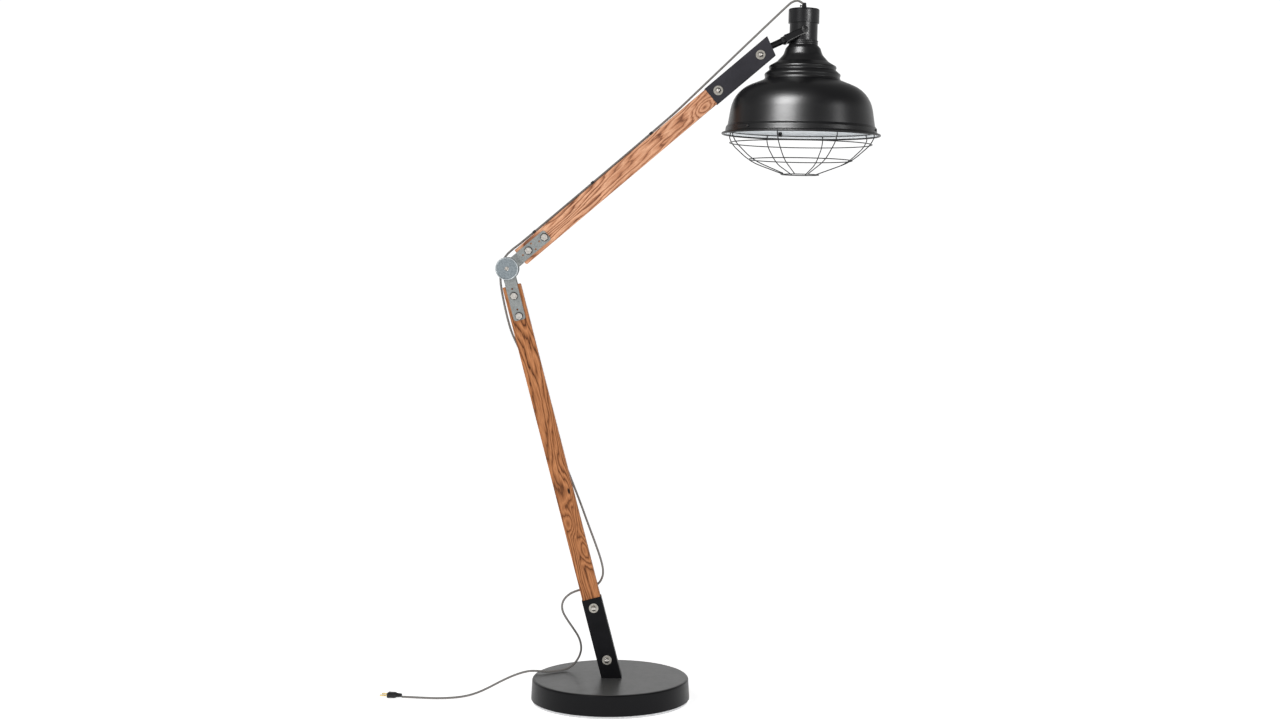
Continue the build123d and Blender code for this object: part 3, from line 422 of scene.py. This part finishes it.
def piece(name, bm, materials, body=None, sharp=35):
    """A bmesh as an object that rides on a body, creased where its faces meet at more than an angle."""
    bmesh.ops.recalc_face_normals(bm, faces=bm.faces)
    mesh = bpy.data.meshes.new(name)
    bm.to_mesh(mesh)
    bm.free()
    mesh.set_sharp_from_angle(angle=math.radians(sharp))
    for material in materials:
        mesh.materials.append(material)
    shape = bpy.data.objects.new(name, mesh)
    bpy.context.scene.collection.objects.link(shape)
    if body:
        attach(shape, body)
    return shape


def turned(bm, place, profile, segments=64, flats=None, slot=0, closed=False):
    """A shape turned about a frame's Z from (radius, height) points. With flats it is a hexagon of that
    size across, cut back to each point's radius."""
    rings = []
    for radius, height in profile:
        if radius < 1e-6:
            rings.append([bm.verts.new(place @ Vector((0, 0, height)))])
            continue
        ring = []
        for index in range(segments):
            angle = 2 * math.pi * index / segments
            reach = radius
            if flats:
                off_flat = (angle + math.pi / 6) % (math.pi / 3) - math.pi / 6
                reach = min(radius, flats / 2 / math.cos(off_flat))
            corner = Vector((reach * math.cos(angle), reach * math.sin(angle), height))
            ring.append(bm.verts.new(place @ corner))
        rings.append(ring)
    skin(bm, rings + rings[:1] if closed else rings, slot)


def bead(radius, height, roll, count=12):
    """A closed round profile, which turns into a ring."""
    points = []
    for index in range(count):
        angle = 2 * math.pi * index / count
        points.append((radius + roll * math.cos(angle), height + roll * math.sin(angle)))
    return points


def rounded(points, radii, steps=7):
    """An outline of (radius, height) points with an arc at each inner corner."""
    outline = [Vector(points[0])]
    for before, corner, after, radius in zip(points, points[1:], points[2:], radii):
        corner = Vector(corner)
        back = (Vector(before) - corner).normalized()
        on = (Vector(after) - corner).normalized()
        half = back.angle(on) / 2
        setback = radius / math.tan(half)
        centre = corner + (back + on).normalized() * (radius / math.sin(half))
        start = corner + back * setback - centre
        end = corner + on * setback - centre
        for index in range(steps + 1):
            outline.append(centre + start.slerp(end, index / steps) * radius)
    outline.append(Vector(points[-1]))
    return outline


def inside_of(outline, wall):
    """An outline moved to its left by a wall's thickness."""
    moved = []
    for index, point in enumerate(outline):
        before = outline[max(index - 1, 0)]
        after = outline[min(index + 1, len(outline) - 1)]
        run = (after - before).normalized()
        moved.append(point + Vector((-run.y, run.x)) * wall)
    return moved


def outward(place, distance, side, level):
    """A frame at a distance along a beam, whose Z points out of its front (side -1) or back (side 1)."""
    there = Matrix.Translation((0, side * level, distance))
    return place @ there @ Matrix.Rotation(-side * math.pi / 2, 4, "X")


def coat(material, *nodes):
    """A material on CAD nodes that are shown as they are."""
    for name in nodes:
        mesh = frame["nodes"][name].data
        mesh.materials.clear()
        mesh.materials.append(material)


# ---------------------------------------------------------------- lead
def beside_arm(distance, height):
    """A point at a distance along the arm from the elbow, and a height above the arm's axis."""
    return ARM @ Vector((-height, 0, distance))


def beside_post(distance, left, depth):
    """A point at a distance down the post from the elbow, to the left of the post's axis and behind it."""
    return POST_DOWN @ Vector((left, depth, distance))


def halfway(first, second):
    """The middle of a straight run, where one length of lead hands over to the next."""
    return (Vector(first) + Vector(second)) / 2


LEAD_HEIGHT = 0.0262
GRIP_EXIT = [(0.484, 0, 1.739), (0.472, 0, 1.7515), (0.455, 0, 1.751), (0.438, 0, 1.738)]
LEAVES_ARM = beside_arm(0.628, 0.0308)
ON_ARM = beside_arm(0.545, LEAD_HEIGHT)
OFF_ARM = beside_arm(0.072, LEAD_HEIGHT)
AT_BEAM_END = beside_arm(0.041, 0.0288)
ABOVE_SLEEVE = halfway(GRIP_EXIT[-1], LEAVES_ARM)
TO_ARM = halfway(LEAVES_ARM, ON_ARM)
FROM_ARM = halfway(OFF_ARM, AT_BEAM_END)
ROUND_ELBOW = [
    (-0.2625, 0, 1.119),
    (-0.272, 0, 1.094),
    (-0.2735, 0, 1.067),
    (-0.2715, 0, 1.042),
]
DOWN_POST = [
    beside_post(0.078, 0.0295, 0),
    beside_post(0.116, 0.031, 0.003),
    beside_post(0.156, 0.031, 0.012),
    beside_post(0.194, 0.0245, 0.0215),
    beside_post(0.240, 0.015, 0.022),
    beside_post(0.310, 0.0075, 0.0192),
    beside_post(0.375, 0.0005, 0.0182),
    beside_post(0.440, -0.008, 0.019),
    beside_post(0.500, -0.0165, 0.022),
]
DROOP = [
    (-0.097, 0.023, 0.555),
    (-0.077, 0.022, 0.504),
    (-0.057, 0.021, 0.448),
    (-0.037, 0.021, 0.394),
    (-0.022, 0.021, 0.35),
    (-0.0165, 0.021, 0.318),
    (-0.027, 0.022, 0.293),
    (-0.051, 0.0183, 0.282),
    (-0.079, 0.0183, 0.2775),
    (-0.104, 0.02, 0.267),
    (-0.121, 0.02, 0.249),
    (-0.1235, 0.022, 0.226),
    (-0.111, 0.027, 0.201),
    (-0.094, 0.034, 0.175),
    (-0.079, 0.043, 0.149),
    (-0.074, 0.054, 0.122),
    (-0.079, 0.066, 0.098),
    (-0.092, 0.072, 0.0765),
    (-0.111, 0.068, 0.0628),
    (-0.135, 0.051, 0.0622),
    (-0.158, 0.038, 0.0626),
    (-0.184, 0.035, 0.0655),
    (-0.208, 0.041, 0.0645),
    (-0.233, 0.05, 0.056),
    (-0.26, 0.057, 0.044),
    (-0.288, 0.06, 0.0295),
    (-0.315, 0.056, 0.016),
    (-0.342, 0.042, 0.0065),
    (-0.371, 0.022, 0.003),
    (-0.402, 0.007, 0.003),
    (-0.437, 0.002, 0.003),
    (-0.472, 0.007, 0.003),
    (-0.505, 0.014, 0.003),
    (-0.53, 0.018, 0.003),
]
AT_POST = halfway(DOWN_POST[0], DOWN_POST[1])


def centreline(name, points):
    """The smooth line of a route: points along a NURBS curve that has the route's points as its own."""
    curve = bpy.data.curves.new(name, "CURVE")
    curve.dimensions = "3D"
    spline = curve.splines.new("NURBS")
    spline.points.add(len(points) - 1)
    for control, point in zip(spline.points, points):
        control.co = (*point, 1)
    spline.order_u = 3
    spline.use_endpoint_u = True
    spline.resolution_u = 10
    holder = bpy.data.objects.new(name, curve)
    bpy.context.scene.collection.objects.link(holder)
    line = bpy.data.meshes.new_from_object(holder)
    path = [vertex.co.copy() for vertex in line.vertices]
    bpy.data.objects.remove(holder)
    bpy.data.meshes.remove(line)
    return path


def tube(name, path, radius, sides=16):
    """A round tube along a path, with its length in metres and its turn as texture coordinates."""
    bm = bmesh.new()
    around = bm.loops.layers.uv.new("UVMap")
    heading = (path[1] - path[0]).normalized()
    side = heading.cross(Vector((0, 1, 0))).normalized()
    rings = []
    lengths = [0.0]
    for index, point in enumerate(path):
        ahead = path[min(index + 1, len(path) - 1)]
        behind = path[max(index - 1, 0)]
        new_heading = (ahead - behind).normalized()
        side.rotate(heading.rotation_difference(new_heading))
        heading = new_heading
        other = heading.cross(side)
        ring = []
        for corner in range(sides):
            angle = 2 * math.pi * corner / sides
            out = side * math.cos(angle) + other * math.sin(angle)
            ring.append(bm.verts.new(point + out * radius))
        rings.append(ring)
        if index:
            lengths.append(lengths[-1] + (point - path[index - 1]).length)
    for index, (below, above) in enumerate(zip(rings, rings[1:])):
        for corner in range(sides):
            following = (corner + 1) % sides
            face = bm.faces.new((below[corner], below[following], above[following], above[corner]))
            face.smooth = True
            ends = (lengths[index], lengths[index], lengths[index + 1], lengths[index + 1])
            turns = (corner, corner + 1, corner + 1, corner)
            for loop, length, turn in zip(face.loops, ends, turns):
                loop[around].uv = (length, turn / sides)
    for ring in (rings[0], rings[-1]):
        bm.faces.new(ring)
    return piece(name, bm, [TEXTILE], sharp=60)


def lead(node, points, body, second=None, **facts):
    """One length of the lead along its route, riding on a body, or fixed where it lies when it spans two."""
    path = centreline(node + "_route", points)
    braid = tube(node + "_braid", path, CORD_DIAMETER / 2)
    if second:
        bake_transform(braid)
    else:
        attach(braid, body)
    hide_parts(node)


def make_lead(grip, plug, pins):
    """The whole lead from the grip on the cap to the plug on the floor."""
    held = {"far_end": "object", "stiffness": "medium"}
    over = GRIP_EXIT + [ABOVE_SLEEVE]
    bridge = [ABOVE_SLEEVE, LEAVES_ARM, TO_ARM]
    along = [TO_ARM, ON_ARM, OFF_ARM, FROM_ARM]
    bend = [FROM_ARM, AT_BEAM_END] + ROUND_ELBOW + [DOWN_POST[0], AT_POST]
    down = [AT_POST] + DOWN_POST[1:] + DROOP
    lead("cord_head", over, "head", "yoke", lay="hanging", with_pieces=[grip], **held)
    lead("cord_bridge", bridge, "yoke", "upper_arm", lay="hanging", **held)
    lead("cord_arm", along, "upper_arm", lay="taut", **held)
    lead("cord_elbow", bend, "upper_arm", "stand", lay="hanging", **held)
    loose = {"far_end": "plug", "stiffness": "medium", "lay": "loose"}
    lead("cord_post", down, "stand", with_pieces=[plug, pins], **loose)


def make_grip():
    """The tapered cord grip on the cap: a collar, a ribbed taper and a rounded lip."""
    bm = bmesh.new()
    place = RIM @ Matrix.Translation((0, 0, CAP_TOP))
    ribs = []
    for index in range(12):
        height = 0.0032 + index * 0.0008
        ribs.append((0.0064 - index * 0.00012 - 0.0003 * (index % 2), height))
    collar = [(0.0, -0.0024), (0.0072, -0.0024), (0.0076, 0.0), (0.0076, 0.0024), (0.0070, 0.0030)]
    lip = [(0.0052, 0.0134), (0.0050, 0.0143), (0.0042, 0.0150)]
    lip += [(0.0030, 0.0150), (0.0027, 0.0143), (0.0, 0.0143)]
    turned(bm, place, collar + ribs + lip, 48)
    grip = piece("cord_grip_taper", bm, [BLACK_PLASTIC], "head")
    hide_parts("cord_grip")
    return grip


def make_plug():
    """A flat two-pin plug: a ribbed neck that the lead enters, and a waisted body with finger ridges.
    A section is (along, half its width, half its height)."""
    tail = Vector(DROOP[-1])
    heading = (tail - Vector(DROOP[-2])).normalized()
    sideways = Vector((-heading.y, heading.x, 0))
    turn = Matrix((sideways, Vector((0, 0, 1)), heading)).transposed().to_4x4()
    place = Matrix.Translation((tail.x, tail.y, 0)) @ turn
    bm = bmesh.new()
    sections = [(0.0, 0.0038, 0.0038), (0.0006, 0.0045, 0.0045)]
    for index in range(5):
        start = 0.0012 + index * 0.0022
        grown = 0.0047 + index * 0.0002
        sections += [(start, grown, grown), (start + 0.0010, grown, grown)]
        groove = grown - 0.0008
        sections += [(start + 0.0013, groove, groove), (start + 0.0019, groove, groove)]
    sections += [(0.0126, 0.0062, 0.0055), (0.0150, 0.0092, 0.0062), (0.0180, 0.0112, 0.0068)]
    for index in range(4):
        start = 0.0196 + index * 0.0024
        sections.append((start, 0.0121, 0.0070))
        sections += [(start + 0.0008, 0.0114, 0.0068), (start + 0.0014, 0.0114, 0.0068)]
    sections += [(0.0300, 0.0128, 0.0070), (0.0350, 0.0130, 0.0070), (0.0360, 0.0124, 0.0064)]
    rings = []
    for along, half_width, half_height in sections:
        ring = []
        for index in range(40):
            angle = 2 * math.pi * index / 40
            squared = 0.62 if along > 0.0126 else 1.0
            x = math.copysign(abs(math.cos(angle)) ** squared, math.cos(angle)) * half_width
            y = math.copysign(abs(math.sin(angle)) ** squared, math.sin(angle)) * half_height
            ring.append(bm.verts.new(place @ Vector((x, y + 0.0070, along))))
        rings.append(ring)
    caps = []
    for ring in (rings[0], rings[-1]):
        centre = sum((vertex.co for vertex in ring), Vector()) / len(ring)
        caps.append([bm.verts.new(centre)])
    skin(bm, [caps[0]] + rings + [caps[1]])
    body = piece("plug_moulding", bm, [BLACK_PLASTIC], "stand")
    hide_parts("plug_body")
    return body


# ---------------------------------------------------------------- shade
SHADE_OUTLINE = [
    (0.1955, 0.0015),
    (0.1885, 0.0070),
    (0.1868, 0.0185),
    (0.1824, 0.0240),
    (0.1690, 0.1070),
    (0.0950, 0.1365),
    (0.0926, 0.1415),
    (0.0946, 0.1505),
    (0.0820, 0.1610),
    (0.0846, 0.1695),
    (0.0640, 0.1815),
    (0.0485, 0.1985),
    (0.0430, 0.2145),
    (NECK_RADIUS + SHADE_WALL, 0.2225),
    (NECK_RADIUS + SHADE_WALL, 0.2335),
]
SHADE_RADII = [0.005, 0.005, 0.0025, 0.079, 0.0025, 0.0022, 0.005, 0.003, 0.005, 0.008, 0.020, 0.004, 0.0025]


SHADE_SEGMENTS = 200


def make_shade():
    """The spun bell: black outside, pale inside, with its rolled rim and the two beads on its collar."""
    bm = bmesh.new()
    outside = rounded(SHADE_OUTLINE, SHADE_RADII)
    inside = inside_of(outside, SHADE_WALL)
    turned(bm, RIM, outside, SHADE_SEGMENTS, slot=0)
    turned(bm, RIM, inside, SHADE_SEGMENTS, slot=1)
    turned(bm, RIM, [outside[-1], inside[-1]], SHADE_SEGMENTS, slot=0)
    rolled_rim = bead(RIM_RADIUS, RIM_ROLL - 0.0008, RIM_ROLL, 16)
    turned(bm, RIM, rolled_rim, SHADE_SEGMENTS, slot=0, closed=True)
    for height in COLLAR_BEADS:
        collar_bead = bead(NECK_RADIUS + SHADE_WALL, height, COLLAR_BEAD_ROLL)
        turned(bm, RIM, collar_bead, 96, slot=0, closed=True)
    shade = piece("shade_bell", bm, [SHADE_PAINT, ENAMEL], "head", 60)
    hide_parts("shade")
    return shade


# ---------------------------------------------------------------- fasteners and hinge fittings
BOLT_RADIUS = 0.005
BOLT_FLATS = 0.016
BOLT_THREAD = 0.024
BOLT_PITCH = 0.0015
BOLT_BEHIND_LEAF = 0.0105
NUT_HEIGHT = 0.008
ACORN_FLATS = 0.013


def thread(radius, start, end, pitch):
    """The outline of a screw thread from one height to another."""
    points = []
    turns = int((end - start) / pitch)
    for index in range(turns):
        height = start + index * pitch
        points += [(radius - 0.0005, height), (radius, height + pitch / 2)]
    return points


def hexagon_bolt(bm, place, length):
    """A bolt from its head's seat: washer face, chamfered hexagon with a dished top, shank and thread."""
    dish = [(0.0, 0.0058), (0.0018, 0.0058), (0.0030, 0.0062), (0.0052, 0.0064), (0.0073, 0.0064)]
    chamfer = [(0.0078, 0.0061), (0.0085, 0.0057), (0.0093, 0.0052), (0.0095, 0.0046)]
    washer_face = [(0.0095, 0.0012), (0.0088, 0.0006), (0.0076, 0.0004), (0.0076, 0.0)]
    turned(bm, place, dish + chamfer + washer_face, 72, flats=BOLT_FLATS)
    plain = length - BOLT_THREAD
    screw = [(BOLT_RADIUS, 0.0002), (BOLT_RADIUS, -plain)]
    screw += [(radius, -depth) for radius, depth in thread(BOLT_RADIUS, plain, length, BOLT_PITCH)]
    turned(bm, place, screw + [(0.0042, -length), (0.0, -length)], 40)


def hexagon_nut(bm, place, height):
    """A nut chamfered on both faces, with a threaded bore."""
    near = [(0.0052, 0.0), (0.0076, 0.0), (0.0095, 0.0010)]
    far = [(0.0095, height - 0.0010), (0.0076, height), (0.0052, height)]
    turned(bm, place, near + far, 72, flats=BOLT_FLATS, closed=True)


def acorn_nut(bm, place):
    """A domed nut: chamfered hexagon, a step, and a round cap."""
    profile = [(0.0042, 0.0), (0.0066, 0.0), (0.0077, 0.0008)]
    profile += [(0.0077, 0.0053), (0.0066, 0.0063), (0.0061, 0.0066)]
    for index in range(9):
        angle = math.radians(index * 10)
        profile.append((0.0060 * math.cos(angle), 0.0067 + 0.0048 * math.sin(angle)))
    turned(bm, place, profile + [(0.0, 0.0115)], 72, flats=ACORN_FLATS)


def make_fasteners():
    """Bolts, nuts and acorn nuts of the hinge and the sleeves, each set as one piece."""
    seat = LEAF_FACE + HINGE_WASHER
    through = 2 * seat + BOLT_BEHIND_LEAF
    for prefix, place, body in (("hinge_lower", POST_DOWN, "stand"), ("hinge_upper", ARM, "upper_arm")):
        bolts = bmesh.new()
        nuts = bmesh.new()
        for number, distance in enumerate(HINGE_BOLTS):
            twist = Matrix.Rotation(0.35 + 0.6 * number, 4, "Z")
            hexagon_bolt(bolts, outward(place, distance, -1, seat) @ twist, through)
            hexagon_nut(nuts, outward(place, distance, 1, seat) @ twist, NUT_HEIGHT)
        for name, bm in (("_bolts", bolts), ("_nuts", nuts)):
            made = piece(prefix + name + "_cut", bm, [STEEL], body, 24)
            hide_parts(prefix + name)
    level = SLEEVE_FACE + SLEEVE_WASHER
    for prefix, place, distances, body in (
        ("lower_sleeve", POST_DOWN, POST_SLEEVE_BOLTS, "stand"),
        ("upper_sleeve", ARM, ARM_SLEEVE_BOLTS, "upper_arm"),
    ):
        bm = bmesh.new()
        for number, distance in enumerate(distances):
            twist = Matrix.Rotation(0.2 + 0.5 * number, 4, "Z")
            acorn_nut(bm, outward(place, distance, -1, level) @ twist)
        made = piece(prefix + "_acorns", bm, [STEEL], body, 24)
        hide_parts(prefix + "_cap_nuts")


def make_discs():
    """The hinge's cover cups with a rolled rim, and the riveted axle through them."""
    discs = bmesh.new()
    wall = 0.0016
    inner = DISC_RADIUS - wall
    for side in (-1, 1):
        place = outward(ARM, 0, side, DISC_INNER)
        skirt = [(inner, 0.0), (DISC_RADIUS, 0.0), (DISC_RADIUS, 0.0042)]
        roll = []
        for index in range(9):
            angle = math.radians(-10 + index * 24)
            roll.append((inner + wall * math.cos(angle), 0.0046 + wall * math.sin(angle)))
        face = [(0.0250, 0.0043), (0.0235, 0.0046), (0.0090, 0.0049), (0.0075, 0.0046), (AXLE_RADIUS, 0.0046)]
        back = [(AXLE_RADIUS, 0.0034), (0.0262, 0.0032), (inner, 0.0026), (inner, 0.0)]
        turned(discs, place, skirt + roll + face[:1], 96, slot=1)
        turned(discs, place, face, 96, slot=0)
        turned(discs, place, face[-1:] + back, 96, slot=0)
    made = piece("elbow_cover_cups", discs, [ZINC_FACE, ZINC_RIM], "stand", 40)
    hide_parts("elbow_cover_discs")
    axle = bmesh.new()
    end = DISC_INNER + 0.0050
    for side in (-1, 1):
        place = outward(ARM, 0, side, 0)
        shank = [(AXLE_RADIUS, 0.0), (AXLE_RADIUS, end - 0.0008)]
        head = [(0.0052, end - 0.0003), (0.0052, end + 0.0006), (0.0046, end + 0.0012)]
        groove = [(0.0038, end + 0.0010), (0.0031, end + 0.0004), (0.0028, end + 0.0012)]
        button = [(0.0022, end + 0.0019), (0.0012, end + 0.0022), (0.0, end + 0.0022)]
        turned(axle, place, shank + head + groove + button, 48)
    made = piece("elbow_axle_riveted", axle, [STEEL], "stand", 30)
    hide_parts("elbow_axle")


# ---------------------------------------------------------------- CAD pieces that stay
YOKE_BEVEL_FACES = Vector((0.293, -0.707, -0.643))


def painted_edge_highlight(name, direction):
    """Paint on a CAD node, with bright bare steel on the bevel that faces a direction: a painted highlight
    along that edge.
    """
    coat(NECK_PAINT, name)
    mesh = frame["nodes"][name].data
    mesh.materials.append(EDGE_HIGHLIGHT_STEEL)
    for polygon in mesh.polygons:
        if polygon.normal.dot(direction) > 0.95:
            polygon.material_index = 1


def finish_cad_pieces():
    """Materials for the nodes that are shown as they come."""
    coat(BASE_PAINT, "base_cover")
    coat(FELT, "base_floor_pad")
    coat(CAST_IRON, "base_ballast")
    coat(PLATE_PAINT, "base_bottom_plate", "post_foot_plate")
    coat(ARM_SLEEVE_LIT_PAINT, "upper_sleeve")
    coat(POST_SLEEVE_PAINT, "lower_sleeve")
    # the yoke's lower bevel in bright steel: a painted highlight
    painted_edge_highlight("yoke", YOKE_BEVEL_FACES)
    coat(NECK_PAINT, "neck_tube", "neck_cap", "stem")
    coat(LOWER_WOOD, "lower_beam")
    coat(UPPER_WOOD, "upper_beam")
    coat(ZINC, "hinge_lower_leaves", "hinge_upper_leaves", "elbow_spacer")
    coat(WASHER_STEEL, "lower_sleeve_washers", "upper_sleeve_washers")
    coat(STEEL, "lower_sleeve_bolts", "upper_sleeve_bolts")
    coat(STEEL, "base_plate_screws", "post_foot_screws")
    coat(SHADED_WASHER_PAINT, "hinge_lower_washers", "hinge_upper_washers")
    coat(FASTENER_PAINT, "pivot_screws", "pivot_nuts", "yoke_bolt", "yoke_lock_nut")
    coat(FASTENER_PAINT, "guard_clip_screws", "guard_clips")
    coat(NYLON, "elbow_friction_washers", "pivot_washers")
    coat(BLACK_PLASTIC, "lampholder", "arm_cord_clips", "post_cord_clips")
    coat(WIRE_PAINT, "guard_rim_ring", "guard_upper_ring", "guard_lower_ring", "guard_bottom_ring")
    coat(WIRE_PAINT, "guard_ribs")
    coat(BRASS, "bulb_cap", "plug_pins")
    coat(FASTENER_PAINT, "cord_grip_screw")
    coat(OPAL, "bulb_glass")


# ---------------------------------------------------------------- studio
def group(name, *shapes):
    """A collection for a light to shine on."""
    collection = bpy.data.collections.new(name)
    for shape in shapes:
        collection.objects.link(shape)
    return collection


def softbox(name, place, target, width, height, power, shines_on=None):
    """A rectangular light aimed at a point. With a collection to shine on, it shows in the gloss of that
    alone."""
    data = bpy.data.lights.new(name, "AREA")
    data.shape = "RECTANGLE"
    data.size = width
    data.size_y = height
    data.energy = power
    light = bpy.data.objects.new(name, data)
    light.location = place
    if shines_on:
        light.visible_diffuse = False
        light.light_linking.receiver_collection = shines_on
    light.rotation_euler = (Vector(target) - Vector(place)).to_track_quat("-Z", "Y").to_euler()
    bpy.context.scene.collection.objects.link(light)


def surroundings():
    """White at eye level and below, and dimmer overhead, so that black paint stays black."""
    world = bpy.data.worlds.new("studio")
    world.use_nodes = True
    tree = world.node_tree
    heading = tree.nodes.new("ShaderNodeTexCoord").outputs["Generated"]
    apart = tree.nodes.new("ShaderNodeSeparateXYZ")
    tree.links.new(heading, apart.inputs[0])
    fall = tree.nodes.new("ShaderNodeMapRange")
    fall.interpolation_type = "SMOOTHSTEP"
    for socket, value in (("From Min", 0.15), ("From Max", 0.5), ("To Min", 1.06), ("To Max", 0.30)):
        fall.inputs[socket].default_value = value
    tree.links.new(apart.outputs["Z"], fall.inputs["Value"])
    tree.links.new(fall.outputs[0], tree.nodes["Background"].inputs["Strength"])
    tree.nodes["Background"].inputs["Color"].default_value = (1, 1, 1, 1)
    bpy.context.scene.world = world
    bpy.context.scene.view_settings.view_transform = "Standard"


FLOOR_REACH = 60
FLOOR_LEVEL = -0.0002


def make_studio(shade):
    """A pale seamless floor, white surroundings, a key and a fill, and boxes for the gloss of the head."""
    bm = bmesh.new()
    corners = []
    for x, y in ((-1, -1), (1, -1), (1, 1), (-1, 1)):
        corners.append(bm.verts.new((x * FLOOR_REACH, y * FLOOR_REACH, FLOOR_LEVEL)))
    bm.faces.new(corners)
    floor = piece("studio_floor", bm, [pale_floor()])
    surroundings()
    softbox("key", (-1.9, -3.0, 3.1), (0.3, 0, 1.3), 1.5, 1.5, 42)
    softbox("fill", (2.6, -2.8, 1.9), (0.3, 0, 1.2), 0.8, 0.8, 14)
    bell = group("bell_gloss", shade)
    neck = group("neck_gloss", frame["nodes"]["neck_tube"], frame["nodes"]["neck_cap"])
    softbox("gloss_left", (-0.95, -2.30, 3.50), (0.43, -0.16, 1.49), 1.7, 1.7, 560, bell)
    softbox("gloss_right", (2.83, -1.52, 2.35), (0.48, 0, 1.50), 0.7, 0.9, 22, bell)
    softbox("gloss_neck", (1.95, -2.60, 2.10), (0.48, 0, 1.68), 0.4, 0.9, 60, neck)


make_camera()
plug_pins = frame["nodes"]["plug_pins"]
make_lead(make_grip(), make_plug(), plug_pins)
make_fasteners()
make_discs()
finish_cad_pieces()
make_studio(make_shade())
